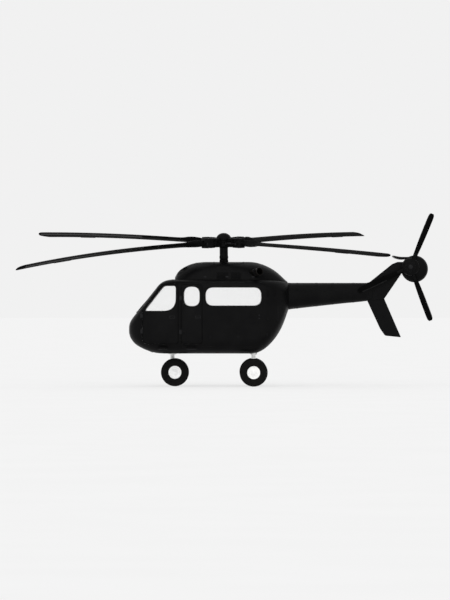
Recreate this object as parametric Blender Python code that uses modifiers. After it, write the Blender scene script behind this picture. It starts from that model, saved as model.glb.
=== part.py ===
"""A medium wheeled helicopter, parked: hollow cabin with four hinged doors, a four-blade main
rotor, a three-blade tail rotor on a swept pylon, and a nose leg with twin wheels.

Metres, +Z up. The nose points to -X and port is -Y. The origin is on the ground, in the
middle of the whole machine's plan box, blades and all. Stations are distances aft of the main
rotor mast. All pieces are modelled with the cabin's middle plane at y = 0, and the last step,
place_pieces, moves them to the middle of the box.
"""
import bmesh
import bpy
from math import atan2, cos, pi, radians, sin, sqrt
from mathutils import Matrix, Vector

# Places along the machine
MAST_X, MAST_Y = -0.082, -0.168
SEAM = 0.0004            # gap kept between pieces that touch
PORT, STARBOARD = -1, 1
SIDES = ((PORT, "port"), (STARBOARD, "starboard"))

# Cabin hull
WALL = 0.06
CROWN = 0.02
ARC_STEPS = 4
COCKPIT_REAR = -1.365
CABIN_REAR = 1.24
BELLY_SEAM_Z, ROOF_SEAM_Z = 1.24, 3.235
FLOOR_TOP, FLOOR_THICK = 1.30, 0.03
HULL_COLUMNS = ("station", "z_bottom", "z_top", "half_width", "r_bottom", "r_top")
HULL = (
    (-2.950, 1.660, 1.900, 0.36, 0.11, 0.11),
    (-2.925, 1.560, 1.995, 0.48, 0.20, 0.16),
    (-2.870, 1.455, 2.095, 0.59, 0.26, 0.20),
    (-2.760, 1.325, 2.240, 0.71, 0.32, 0.22),
    (-2.600, 1.220, 2.431, 0.825, 0.36, 0.22),
    (-2.350, 1.110, 2.735, 0.935, 0.40, 0.22),
    (-2.100, 1.043, 3.062, 1.005, 0.42, 0.22),
    (-2.010, 1.033, 3.176, 1.020, 0.42, 0.22),
    (-1.920, 1.028, 3.246, 1.032, 0.42, 0.22),
    (-1.820, 1.025, 3.294, 1.041, 0.42, 0.23),
    (-1.600, 1.025, 3.335, 1.050, 0.42, 0.26),
    (-1.300, 1.025, 3.338, 1.050, 0.42, 0.28),
    (0.820, 1.025, 3.338, 1.050, 0.42, 0.28),
    (1.040, 1.053, 3.338, 1.048, 0.42, 0.28),
    (1.277, 1.178, 3.336, 1.030, 0.42, 0.29),
    (1.402, 1.281, 3.332, 1.000, 0.42, 0.30),
    (1.520, 1.403, 3.325, 0.955, 0.41, 0.31),
    (1.650, 1.569, 3.316, 0.880, 0.40, 0.32),
    (1.790, 1.803, 3.300, 0.765, 0.38, 0.32),
    (1.900, 2.060, 3.278, 0.640, 0.34, 0.31),
    (1.975, 2.270, 3.250, 0.520, 0.31, 0.29),
    (2.020, 2.394, 3.225, 0.420, 0.28, 0.28),
)

# Windows and doors, as outlines of (station, z, corner radius)
COCKPIT_WINDOW = ((-2.461, 2.352, 0.03), (-1.859, 3.128, 0.20), (-1.489, 3.128, 0.08), (-1.489, 2.352, 0.40))
DOOR_WINDOW = ((-1.239, 2.500, 0.23), (-1.239, 3.103, 0.23), (-0.751, 3.103, 0.23), (-0.751, 2.500, 0.23))
CABIN_WINDOW = ((-0.561, 2.516, 0.24), (-0.561, 3.078, 0.24), (1.173, 3.078, 0.24), (1.173, 2.516, 0.24))
COCKPIT_DOOR = (
    (-2.520, 1.400, 0.16), (-2.520, 2.382, 0.02), (-1.901, 3.180, 0.12), (-1.422, 3.180, 0.06),
    (-1.422, 1.330, 0.10), (-2.350, 1.330, 0.16),
)
CABIN_DOOR = ((-1.312, 1.330, 0.10), (-1.312, 3.170, 0.10), (-0.678, 3.170, 0.10), (-0.678, 1.330, 0.10))
DOOR_GAP, CLOSING_EDGE_GAP = 0.010, 0.016
TOP_CORNER_Z, TOP_CORNER_GAP = 3.0, 0.024
GLASS_INSET, GLASS_THICK = 0.020, 0.012
HINGE_RADIUS, HINGE_HEIGHT, HINGE_STAND_OFF = 0.014, 0.14, 0.004
HINGE_PAD_LENGTH, HINGE_PAD_SINK = 0.05, 0.03
COCKPIT_HINGE_Z, CABIN_HINGE_Z = (1.72, 2.20), (1.70, 2.75)
WINDSCREEN_LOW, WINDSCREEN_HIGH = (-2.655, 2.364), (-2.075, 3.094)      # (station, z) on the nose's slope
WINDSCREEN_POST, WINDSCREEN_LOW_Y, WINDSCREEN_HIGH_Y = 0.045, 0.60, 0.75
WINDSCREEN_CORNER = 0.07

# Engine cowling on the cabin roof: station, z_top, half_width
COWL_COLUMNS = ("station", "z_top", "half_width")
COWL = (
    (-1.520, 3.400, 0.46), (-1.433, 3.553, 0.59), (-1.295, 3.678, 0.68), (-1.040, 3.803, 0.755),
    (-0.850, 3.853, 0.78), (-0.550, 3.880, 0.80), (0.780, 3.880, 0.80), (0.950, 3.869, 0.79),
    (1.200, 3.803, 0.745), (1.480, 3.678, 0.66), (1.664, 3.553, 0.58), (1.805, 3.428, 0.51),
    (1.917, 3.320, 0.45), (1.990, 3.262, 0.41),
)
COWL_BASE_Z, COWL_SKIN, COWL_ROUNDNESS, COWL_STEPS = 3.08, 0.04, 2.5, 14
INTAKE_Y, INTAKE_Z, INTAKE_RADIUS = 0.36, 3.60, 0.115
EXHAUST_RADIUS, EXHAUST_WALL = 0.115, 0.012
EXHAUST_FROM, EXHAUST_TO = (0.80, 0.405, 3.50), (1.12, 0.98, 3.58)       # station, |y|, z
ENGINE_STATIONS, ENGINE_HALF_WIDTH, ENGINE_TOP = (0.42, 1.18), 0.40, 3.60
GEARBOX_RADIUS, GEARBOX_TOP = 0.34, 3.62

# Main rotor: the mast leans forward and to port, as real ones do
HUB_Z = 4.475
MAST_FORWARD, MAST_PORT = radians(0.5), radians(3.5)
MAST_RADIUS, MAST_HOLE_RADIUS, MAST_LENGTH = 0.13, 0.16, 0.76
BOSS_RADIUS, BOSS_HEIGHT = 0.20, 0.16
ROTOR_RADIUS = 7.64
ARM_AZIMUTHS = (45, 135, 225, 315)       # degrees from the tail towards starboard
PARKED_COLUMNS = ("lag", "flap", "pitch", "droop")
PARKED = (                               # each blade, degrees off its arm, and metres that its tip hangs
    (9.9, 0.69, 11.3, 0.160), (6.2, 2.29, 17.7, 0.223),
    (-11.2, -0.80, 17.9, 0.422), (-5.3, -0.46, 4.4, 0.089),
)
DROOP_POWER = 2.4
HINGE_R = 0.56                           # drag hinge's distance from the mast
DRUM_RADIUS, DRUM_LOW, DRUM_HIGH = 0.20, -0.125, 0.095
ARM_HALF_WIDTH, ARM_HALF_HEIGHT = 0.075, 0.062
SHOULDER_R, SHOULDER_HALF_WIDTH, SHOULDER_LOW, SHOULDER_HIGH = 0.44, 0.082, -0.123, 0.160
BARREL_RADIUS, BARREL_HALF_HEIGHT = 0.085, 0.095
CHEEK_LOW, CHEEK_HIGH, GRIP_HALF_WIDTH, GRIP_LENGTH = -0.135, 0.165, 0.095, 0.30
CHORD, BLADE_THICK = 0.50, 0.100
BLADE_COLUMNS = ("radius_share", "chord_share", "thickness_share")
BLADE = (
    (0.112, 0.34, 2.10), (0.150, 0.62, 2.45), (0.178, 0.94, 2.10), (0.196, 1.00, 1.45), (0.216, 1.00, 1.10),
    (0.250, 1.00, 1.00), (0.400, 1.00, 1.00), (0.560, 1.00, 1.00), (0.720, 1.00, 1.00), (0.860, 1.00, 1.00),
    (0.985, 1.00, 1.00), (0.995, 0.96, 0.85), (1.000, 0.88, 0.50),
)
CAP_RADIUS, CAP_HEIGHT = 0.232, 0.215

# Tail: boom, pylon, ventral fin, stabiliser and rotor
BOOM_COLUMNS = ("station", "z_bottom", "z_top", "half_width")
BOOM = (
    (2.0204, 2.394, 3.225, 0.41), (2.90, 2.492, 3.225, 0.35), (3.70, 2.580, 3.225, 0.29),
    (4.44, 2.655, 3.225, 0.225), (4.64, 2.690, 3.200, 0.15),
)
BOOM_STEPS = 20
PYLON = (
    (4.430, 2.480, 0.08), (4.400, 3.210, 0.02), (4.560, 3.250, 0.12), (5.265, 3.815, 0.10),
    (5.430, 3.880, 0.05), (5.960, 3.880, 0.02), (5.960, 3.588, 0.02), (5.600, 3.588, 0.02),
    (4.830, 2.460, 0.08),
)
VENTRAL = (
    (4.395, 2.860, 0.08), (4.956, 2.860, 0.08), (5.536, 1.525, 0.02), (5.040, 1.575, 0.10),
    (4.885, 1.795, 0.30),
)
FIN_SEAM_LOW, FIN_SEAM_HIGH = (4.20, 2.6357), (5.40, 2.7727)     # where pylon and ventral fin meet
PYLON_HALF_THICK, VENTRAL_HALF_THICK, FIN_EDGE = 0.105, 0.075, 0.055
STABILISER_COLUMNS = ("station", "z_top", "thickness")
STABILISER = (
    (5.298, 4.078, 0.030), (5.360, 4.066, 0.060), (5.450, 4.049, 0.074), (5.570, 4.037, 0.080),
    (5.700, 4.035, 0.070), (5.820, 4.043, 0.050), (5.930, 4.060, 0.018),
)
STABILISER_SPAN = ((-0.04, 1.0), (1.12, 1.0), (1.18, 0.8))       # y, size of the section
STABILISER_MIDDLE = (5.62, 4.03)
BRACE_FOOT, BRACE_TOP, BRACE_RADIUS = (5.86, 0.14, 3.74), (5.80, 0.72, 4.01), 0.022
TAIL_DISC_STATION, TAIL_DISC_Z = 5.960, 3.662      # the gearbox, with the rotor's axis off its middle
TAIL_AXIS_STATION, TAIL_AXIS_Z = 5.823, 3.725
TAIL_PROFILE_COLUMNS = ("radius", "y")
TAIL_HOUSING = (
    (0.0, -0.14), (0.26, -0.14), (0.37, -0.115), (0.42, -0.04), (0.42, 0.04), (0.35, 0.125),
    (0.16, 0.17), (0.0, 0.18),
)
TAIL_HUB = (
    (0.0, -0.1404), (0.075, -0.1404), (0.085, -0.230), (0.19, -0.245), (0.262, -0.290), (0.275, -0.335),
    (0.262, -0.380), (0.19, -0.425), (0.10, -0.445), (0.0, -0.450),
)
TAIL_ROTOR_Y = -0.335
TAIL_AZIMUTHS = (67.7, 205, 290.6)
TAIL_BLADE_COLUMNS = ("radius", "chord", "thickness")
TAIL_BLADE = (
    (0.18, 0.120, 0.045), (0.42, 0.140, 0.036), (0.80, 0.170, 0.026), (1.20, 0.185, 0.022),
    (1.60, 0.185, 0.019), (1.73, 0.165, 0.016), (1.79, 0.095, 0.010),
)
TAIL_PITCH = radians(10)

# Wheels and legs
TYRE_RADIUS, RIM_RADIUS, BORE_RADIUS = 0.436, 0.205, 0.045
WHEEL_STEPS = 28
NOSE_WHEEL_STATION, NOSE_WHEEL_Y, NOSE_TYRE_WIDTH = -1.522, 0.195, 0.205
NOSE_TRAIL, NOSE_LEG_RADIUS, NOSE_PISTON_RADIUS, NOSE_COLLAR_Z = 0.08, 0.065, 0.045, 0.70
MAIN_WHEEL_STATION, MAIN_WHEEL_Y, MAIN_TYRE_WIDTH = 0.931, 0.80, 0.25
MAIN_LEG_Y, MAIN_LEG_RADIUS = 0.585, 0.062
AXLE_CLEARANCE = 0.0006

# Cabin fittings
SEAT_STATION, SEAT_Y, SEAT_WIDTH, SEAT_DEPTH = -1.73, 0.46, 0.48, 0.46
SEAT_CUSHION_Z, SEAT_BACK_TOP, SEAT_PAD = 1.68, 2.33, 0.10
BENCH_STATIONS, BENCH_HALF_WIDTH, BENCH_TOP, BENCH_BACK_TOP = (0.90, 1.36), 0.84, 1.74, 2.42
PANEL_STATIONS, PANEL_HALF_WIDTH, PANEL_Z = (-2.50, -2.26), 0.60, (1.86, 2.30)

COLOURS = {
    "body_black": ((0.012, 0.012, 0.013), 0.32, 0.0),
    "tail_black": ((0.012, 0.012, 0.013), 0.32, 0.0),
    "blade_black": ((0.016, 0.016, 0.017), 0.45, 0.0),
    "rotor_black": ((0.016, 0.016, 0.017), 0.45, 0.0),
    "dark_metal": ((0.05, 0.05, 0.055), 0.40, 0.8),
    "tyre_rubber": ((0.018, 0.018, 0.018), 0.85, 0.0),
    "pale_paint": ((0.86, 0.86, 0.86), 0.35, 0.0),
    "bright_steel": ((0.80, 0.80, 0.81), 0.25, 0.9),
    "clear_glass": ((0.93, 0.95, 0.95), 0.03, 0.0),
    "cabin_floor": ((0.62, 0.62, 0.61), 0.70, 0.0),
    "seat_fabric": ((0.62, 0.61, 0.59), 0.90, 0.0),
}


def at(station):
    """World x of a station."""
    return station + MAST_X


def clear_scene():
    for old in list(bpy.data.objects):
        bpy.data.objects.remove(old)


def collection(name, hidden=False):
    made = bpy.data.collections.new(name)
    bpy.context.scene.collection.children.link(made)
    made.hide_render = hidden
    return made


clear_scene()
PARTS = collection("helicopter")
CUTTERS = collection("cutters", hidden=True)
MATERIALS = {}


def material(name):
    if name not in MATERIALS:
        colour, roughness, metallic = COLOURS[name]
        made = bpy.data.materials.new(name)
        made.use_nodes = True
        shader = made.node_tree.nodes["Principled BSDF"]
        shader.inputs["Base Color"].default_value = (*colour, 1)
        shader.inputs["Roughness"].default_value = roughness
        shader.inputs["Metallic"].default_value = metallic
        MATERIALS[name] = made
    return MATERIALS[name]


def as_cutter(obj):
    for owner in obj.users_collection:
        owner.objects.unlink(obj)
    CUTTERS.objects.link(obj)
    obj.hide_render = True
    obj.display_type = "WIRE"
    return obj


def as_part(obj, name, finish):
    for owner in obj.users_collection:
        owner.objects.unlink(obj)
    PARTS.objects.link(obj)
    obj.name = obj.data.name = name
    obj.hide_render = False
    obj.display_type = "TEXTURED"
    obj.data.materials.clear()
    obj.data.materials.append(material(finish))
    obj.data.shade_smooth()
    obj.data.set_sharp_from_angle(angle=radians(35))
    return obj


def from_bmesh(bm):
    """A cutter object from a bmesh; as_part turns it into a piece."""
    bmesh.ops.recalc_face_normals(bm, faces=bm.faces)
    mesh = bpy.data.meshes.new("shape")
    bm.to_mesh(mesh)
    bm.free()
    obj = bpy.data.objects.new("shape", mesh)
    CUTTERS.objects.link(obj)
    return as_cutter(obj)


def bake(obj):
    """Replaces an object's mesh by its evaluated one, with its transform and modifiers applied."""
    bpy.context.view_layer.update()
    graph = bpy.context.evaluated_depsgraph_get()
    mesh = bpy.data.meshes.new_from_object(obj.evaluated_get(graph), depsgraph=graph)
    mesh.transform(obj.matrix_world)
    obj.modifiers.clear()
    obj.data = mesh
    obj.parent = None
    obj.matrix_world = Matrix.Identity(4)
    return obj


def boolean(obj, tool, operation):
    step = obj.modifiers.new("boolean", "BOOLEAN")
    step.operation = operation
    step.solver = "EXACT"
    step.object = tool
    return bake(obj)


def cut(obj, *tools):
    for tool in tools:
        boolean(obj, tool, "DIFFERENCE")
    return obj


def join(obj, *tools):
    for tool in tools:
        boolean(obj, tool, "UNION")
    return obj


def common(obj, tool):
    return boolean(obj, tool, "INTERSECT")


def copy_of(obj):
    made = obj.copy()
    made.data = obj.data.copy()
    CUTTERS.objects.link(made)
    return as_cutter(made)


def bevel(obj, width, segments=2, angle=35):
    step = obj.modifiers.new("bevel", "BEVEL")
    step.width = width
    step.segments = segments
    step.limit_method = "ANGLE"
    step.angle_limit = radians(angle)
    return bake(obj)


def box(low, high, rounded=0.0, segments=2):
    bm = bmesh.new()
    bmesh.ops.create_cube(bm, size=1)
    low, high = Vector(low), Vector(high)
    size = high - low
    bmesh.ops.scale(bm, vec=size, verts=bm.verts)
    bmesh.ops.translate(bm, vec=(low + high) / 2, verts=bm.verts)
    obj = from_bmesh(bm)
    return bevel(obj, rounded, segments) if rounded else obj


def rod(start, end, radius, end_radius=None, segments=20):
    """A cylinder or cone between two points."""
    start, end = Vector(start), Vector(end)
    along = end - start
    bm = bmesh.new()
    bmesh.ops.create_cone(bm, cap_ends=True, segments=segments, radius1=radius,
                          radius2=radius if end_radius is None else end_radius, depth=along.length)
    turn = along.to_track_quat("Z", "Y").to_matrix().to_4x4()
    bmesh.ops.transform(bm, matrix=Matrix.Translation((start + end) / 2) @ turn, verts=bm.verts)
    return from_bmesh(bm)


def turned(profile, centre, axis, steps):
    """A solid of revolution: profile is (radius, distance along axis), turned about an axis."""
    mesh = bpy.data.meshes.new("profile")
    points = [(radius, 0, along) for radius, along in profile]
    mesh.from_pydata(points, [(k, k + 1) for k in range(len(points) - 1)], [])
    obj = as_cutter_from(mesh)
    screw = obj.modifiers.new("screw", "SCREW")
    screw.steps = screw.render_steps = steps
    screw.use_merge_vertices = True
    screw.merge_threshold = 0.0001
    screw.use_normal_calculate = True
    turn = Vector(axis).normalized().to_track_quat("Z", "Y").to_matrix().to_4x4()
    obj.matrix_world = Matrix.Translation(Vector(centre)) @ turn
    return outward(bake(obj))


def as_cutter_from(mesh):
    obj = bpy.data.objects.new("shape", mesh)
    CUTTERS.objects.link(obj)
    return as_cutter(obj)


def outward(obj):
    bm = bmesh.new()
    bm.from_mesh(obj.data)
    bmesh.ops.remove_doubles(bm, verts=bm.verts, dist=1e-5)
    bmesh.ops.recalc_face_normals(bm, faces=bm.faces)
    if bm.calc_volume(signed=True) < 0:
        bmesh.ops.reverse_faces(bm, faces=bm.faces)
    bm.to_mesh(obj.data)
    bm.free()
    return obj


def loft(rings):
    """A closed solid through rings that all have the same number of points.

    Its triangles are laid the same way in every solid and its offset, so that the two stay apart.
    """
    bm = bmesh.new()
    rows = [[bm.verts.new(point) for point in ring] for ring in rings]
    for near, far in zip(rows, rows[1:]):
        count = len(near)
        for k in range(count):
            follow = (k + 1) % count
            if 2 * k < count:
                bm.faces.new((near[k], near[follow], far[follow]))
                bm.faces.new((near[k], far[follow], far[k]))
            else:
                bm.faces.new((near[k], near[follow], far[k]))
                bm.faces.new((near[follow], far[follow], far[k]))
    bm.faces.new(rows[0])
    bm.faces.new(rows[-1])
    return outward(from_bmesh(bm))


def rounded_outline(corners, grow=0.0, steps=5):
    """Outline points of a polygon of (u, v, corner radius), grown outwards by a margin."""
    count = len(corners)
    area = sum(corners[k - 1][0] * corners[k][1] - corners[k][0] * corners[k - 1][1] for k in range(count))
    turn = 1 if area > 0 else -1
    lines = []
    for k in range(count):
        a, b = Vector(corners[k][:2]), Vector(corners[(k + 1) % count][:2])
        along = (b - a).normalized()
        out = Vector((along.y, -along.x)) * turn
        lines.append((a + out * grow, along))
    points = []
    for k in range(count):
        (p, d), (q, e) = lines[k - 1], lines[k]
        cross = d.x * e.y - d.y * e.x
        corner = p + d * (((q - p).x * e.y - (q - p).y * e.x) / cross)
        radius = corners[k][2]
        half = abs(atan2(cross, d.dot(e))) / 2
        reach = radius * (sin(half) / cos(half))
        start, end = corner - d * reach, corner + e * reach
        for step in range(steps + 1):
            share = step / steps
            mid = start.lerp(corner, share).lerp(corner.lerp(end, share), share)
            points.append(mid)
    return points


def prism(outline, place, thick_low, thick_high):
    """A flat outline made solid: place(u, v, depth) gives the point in space."""
    rings = [[place(u, v, depth) for u, v in outline] for depth in (thick_low, thick_high)]
    return loft(rings)


def side_prism(corners, side, grow=0.0, y_low=0.60, y_high=1.30):
    """A cutter through one side wall, from an outline of (station, z, corner radius)."""
    outline = [(p.x, p.y) for p in rounded_outline(corners, grow)]
    return prism(outline, lambda u, v, y: (at(u), side * y, v), y_low, y_high)


def flat_prism(corners, half_thick, middle_y=0.0):
    """A fin: an outline of (station, z, corner radius) with a thickness in y."""
    outline = [(p.x, p.y) for p in rounded_outline(corners)]
    return prism(outline, lambda u, v, y: (at(u), middle_y + y, v), -half_thick, half_thick)


def hull_ring(row, inset):
    """One section of the hull: rounded rectangle with a slight crown, shrunk by the inset."""
    station, z_bottom, z_top, half_width, r_bottom, r_top = row
    half, low, high = half_width - inset, z_bottom + inset, z_top - inset
    room = (high - low) / 2
    r_low = max(0.02, min(r_bottom - inset, room, half))
    r_high = max(0.02, min(r_top - inset, room - CROWN / 2, half))
    side = [(0.0, low)]
    for step in range(ARC_STEPS + 1):
        angle = pi / 2 * step / ARC_STEPS
        side.append((half - r_low + r_low * sin(angle), low + r_low - r_low * cos(angle)))
    for step in range(ARC_STEPS + 1):
        angle = pi / 2 * step / ARC_STEPS
        side.append((half - r_high + r_high * cos(angle), high - CROWN - r_high + r_high * sin(angle)))
    side.append(((half - r_high) / 2, high - CROWN / 4))
    side.append((0.0, high))
    ring = [(at(station), y, z) for y, z in side]
    ring += [(at(station), -y, z) for y, z in reversed(side[1:-1])]
    return ring


def hull_solid(inset=0.0):
    """The hull's outer form shrunk by the inset on every side, its two ends included."""
    first, last = HULL[0][0] + inset, HULL[-1][0] - inset
    rows = [row for row in HULL if first < row[0] < last]
    if inset > 0:
        rows = [between_rows(HULL, first), *rows, between_rows(HULL, last)]
    else:
        rows = [(first, *HULL[0][1:]), *rows[1:-1], (last, *HULL[-1][1:])]
    return loft([hull_ring(row, inset) for row in rows])


def between_rows(table, station):
    """The table's row at a station, in a straight line between its neighbours."""
    for near, far in zip(table, table[1:]):
        if near[0] <= station <= far[0]:
            share = (station - near[0]) / (far[0] - near[0])
            return tuple(a + (b - a) * share for a, b in zip(near, far))
    return table[0] if station < table[0][0] else table[-1]


def half_width_at(station):
    return between_rows(HULL, station)[3]


def tool_region(stations, z=(0.8, 4.0), y=(-1.4, 1.4)):
    return box((at(stations[0]), y[0], z[0]), (at(stations[1]), y[1], z[1]))


def windscreen_prism(side, grow=0.0):
    """Cutter for one windscreen pane, square to the nose's slope."""
    low, high = Vector(WINDSCREEN_LOW), Vector(WINDSCREEN_HIGH)
    along = (high - low).normalized()
    normal = Vector((-along.y, along.x))
    length = (high - low).length
    corners = ((WINDSCREEN_POST, 0, WINDSCREEN_CORNER), (WINDSCREEN_LOW_Y, 0, WINDSCREEN_CORNER),
               (WINDSCREEN_HIGH_Y, length, WINDSCREEN_CORNER), (WINDSCREEN_POST, length, WINDSCREEN_CORNER))
    outline = [(p.x, p.y) for p in rounded_outline(corners, grow)]

    def place(y, up, depth):
        point = low + along * up + normal * depth
        return at(point.x), side * y, point.y

    return prism(outline, place, -0.22, 0.12)


def hinge_line(door):
    """Station and half-width of a door's vertical hinge axis."""
    station = min(corner[0] for corner in door)
    return station, half_width_at(station) + HINGE_STAND_OFF


def hinge_pins(door, heights, side, grow=0.0):
    station, half_width = hinge_line(door)
    x, y, half = at(station), side * half_width, HINGE_HEIGHT / 2 + grow
    return [rod((x, y, z - half), (x, y, z + half), HINGE_RADIUS + grow, segments=12) for z in heights]


def hinge_pads(door, heights, side):
    """Blocks on the frame that the hinge pins turn against."""
    station, half_width = hinge_line(door)
    rear = station - HINGE_RADIUS - 2 * SEAM
    depths = sorted((side * (half_width - HINGE_PAD_SINK), side * (half_width + HINGE_PAD_SINK / 3)))
    return [box((at(rear - HINGE_PAD_LENGTH), depths[0], z - HINGE_HEIGHT / 2),
                (at(rear), depths[1], z + HINGE_HEIGHT / 2)) for z in heights]


def door_hole(door, side):
    """The door's opening in the frame: its outline, wider fore and aft and at a slanted edge."""
    front = min(corner[0] for corner in door)
    rear = max(corner[0] for corner in door)
    wider = []
    for station, z, radius in door:
        extra = CLOSING_EDGE_GAP - DOOR_GAP
        if door is COCKPIT_DOOR and z > TOP_CORNER_Z and station < rear:
            extra, radius = -TOP_CORNER_GAP, radius / 2
        elif station < (front + rear) / 2:
            extra = -extra
        wider.append((station + extra, z, radius))
    return side_prism(wider, side, grow=DOOR_GAP)


DOORS = (
    ("cockpit", COCKPIT_DOOR, COCKPIT_WINDOW, COCKPIT_HINGE_Z),
    ("cabin", CABIN_DOOR, DOOR_WINDOW, CABIN_HINGE_Z),
)


def build_hull():
    """The hollow hull, split where its panels meet, with its doors and glass."""
    shell = cut(hull_solid(), hull_solid(WALL))
    glass = cut(hull_solid(GLASS_INSET), hull_solid(GLASS_INSET + GLASS_THICK))
    frame = copy_of(shell)
    for side, word in SIDES:
        for label, door, window, hinge_z in DOORS:
            panel = common(copy_of(shell), side_prism(door, side))
            cut(panel, side_prism(window, side, grow=SEAM))
            join(panel, *hinge_pins(door, hinge_z, side))
            as_part(panel, f"{label}_door_{word}", "body_black")
            pane = common(copy_of(glass), side_prism(window, side))
            as_part(pane, f"{label}_door_glass_{word}", "clear_glass")
            cut(frame, door_hole(door, side))
            cut(frame, *hinge_pins(door, hinge_z, side, grow=2 * SEAM))
            join(frame, *hinge_pads(door, hinge_z, side))
        cut(frame, side_prism(CABIN_WINDOW, side, grow=SEAM))
        as_part(common(copy_of(glass), side_prism(CABIN_WINDOW, side)), f"cabin_glass_{word}", "clear_glass")
        cut(frame, windscreen_prism(side, grow=SEAM))
        as_part(common(copy_of(glass), windscreen_prism(side)), f"windscreen_{word}", "clear_glass")
    nose, rear = HULL[0][0] - 0.2, HULL[-1][0] + 0.2
    middle = (COCKPIT_REAR + SEAM, CABIN_REAR - SEAM)
    panels = (
        ("cockpit_shell", (nose, COCKPIT_REAR), (0.8, 4.0), (-1.4, 1.4)),
        ("aft_shell", (CABIN_REAR, rear), (0.8, 4.0), (-1.4, 1.4)),
        ("belly_panel", middle, (0.8, BELLY_SEAM_Z), (-1.4, 1.4)),
        ("cabin_side_port", middle, (BELLY_SEAM_Z + SEAM, ROOF_SEAM_Z - SEAM), (-1.4, 0)),
        ("cabin_side_starboard", middle, (BELLY_SEAM_Z + SEAM, ROOF_SEAM_Z - SEAM), (0, 1.4)),
        ("cabin_roof", middle, (ROOF_SEAM_Z, 4.0), (-1.4, 1.4)),
    )
    for name, stations, z, y in panels:
        as_part(common(copy_of(frame), tool_region(stations, z, y)), name, "body_black")
    floor = common(hull_solid(WALL + SEAM), tool_region((-2.42, 1.34), (FLOOR_TOP - FLOOR_THICK, FLOOR_TOP)))
    as_part(floor, "cabin_floor", "cabin_floor")


def cowl_ring(row, inset, base_z):
    station, z_top, half_width = row
    half, rise = half_width - inset, z_top - inset - base_z
    ring = []
    for step in range(COWL_STEPS + 1):
        angle = pi * step / COWL_STEPS
        across, up = cos(angle), sin(angle)
        y = half * abs(across) ** (2 / COWL_ROUNDNESS) * (1 if across >= 0 else -1)
        ring.append((at(station), y, base_z + rise * max(up, 0.0) ** (2 / COWL_ROUNDNESS)))
    return ring


def cowl_solid(inset=0.0, base_z=COWL_BASE_Z):
    first, last = COWL[0][0] + inset, COWL[-1][0] - 4 * inset
    inner = [row for row in COWL if first < row[0] < last]
    rows = [between_rows(COWL, first), *inner, between_rows(COWL, last)]
    return loft([cowl_ring(row, inset, base_z) for row in rows])


def mast_frame():
    """The main rotor's own frame: origin at the hub, Z along the mast."""
    lean = Matrix.Rotation(MAST_PORT, 4, "X") @ Matrix.Rotation(-MAST_FORWARD, 4, "Y")
    return Matrix.Translation((at(0), 0, HUB_Z)) @ lean


def on_mast(radius, low, high, segments=24):
    frame = mast_frame()
    return rod(frame @ Vector((0, 0, low)), frame @ Vector((0, 0, high)), radius, segments=segments)


def build_powerplant():
    cowl = cut(cowl_solid(), cowl_solid(COWL_SKIN, COWL_BASE_Z - 0.1), hull_solid(-SEAM))
    cut(cowl, on_mast(MAST_HOLE_RADIUS, -1.0, 0.3))
    for side, word in SIDES:
        y = side * INTAKE_Y
        cut(cowl, rod((at(-1.75), y, INTAKE_Z), (at(-1.05), y, INTAKE_Z), INTAKE_RADIUS))
        start = Vector((at(EXHAUST_FROM[0]), side * EXHAUST_FROM[1], EXHAUST_FROM[2]))
        end = Vector((at(EXHAUST_TO[0]), side * EXHAUST_TO[1], EXHAUST_TO[2]))
        along = (end - start).normalized()
        cut(cowl, rod(start - along * 0.1, end + along * 0.2, EXHAUST_RADIUS + SEAM, segments=24))
        pipe = rod(start, end, EXHAUST_RADIUS, segments=24)
        cut(pipe, rod(start + along * 0.20, end + along * 0.1, EXHAUST_RADIUS - EXHAUST_WALL, segments=24))
        as_part(cut(pipe, box((at(0), -ENGINE_HALF_WIDTH - SEAM, 3), (at(2), ENGINE_HALF_WIDTH + SEAM, 4))),
                f"exhaust_{word}", "dark_metal")
    as_part(cowl, "engine_cowling", "body_black")
    deck = between_rows(HULL, 0)[2] + SEAM
    engine = box((at(ENGINE_STATIONS[0]), -ENGINE_HALF_WIDTH, deck),
                 (at(ENGINE_STATIONS[1]), ENGINE_HALF_WIDTH, ENGINE_TOP))
    as_part(engine, "engine_block", "dark_metal")
    foot = mast_frame() @ Vector((0, 0, -MAST_LENGTH))
    gearbox = rod((foot.x, foot.y, deck), (foot.x, foot.y, GEARBOX_TOP), GEARBOX_RADIUS, segments=24)
    join(gearbox, on_mast(BOSS_RADIUS, -MAST_LENGTH - BOSS_HEIGHT, -MAST_LENGTH))
    as_part(gearbox, "main_gearbox", "dark_metal")


def airfoil(chord, thick, points=6):
    """Outline of a blade section: round nose forward (+v), thin tail, centred on mid chord."""
    upper = []
    for k in range(points + 1):
        share = (1 - cos(pi * k / points)) / 2
        height = thick * (1.485 * sqrt(share) - 0.630 * share - 1.758 * share ** 2
                          + 1.4215 * share ** 3 - 0.508 * share ** 4)
        upper.append((chord / 2 - chord * share, max(height, 0.0015)))
    lower = [(v, -w * 0.8) for v, w in reversed(upper[1:])]
    return [(chord / 2, 0.0)] + upper[1:] + lower


def pitched(section, pitch):
    return [(v * cos(pitch) - w * sin(pitch), v * sin(pitch) + w * cos(pitch)) for v, w in section]


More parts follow.
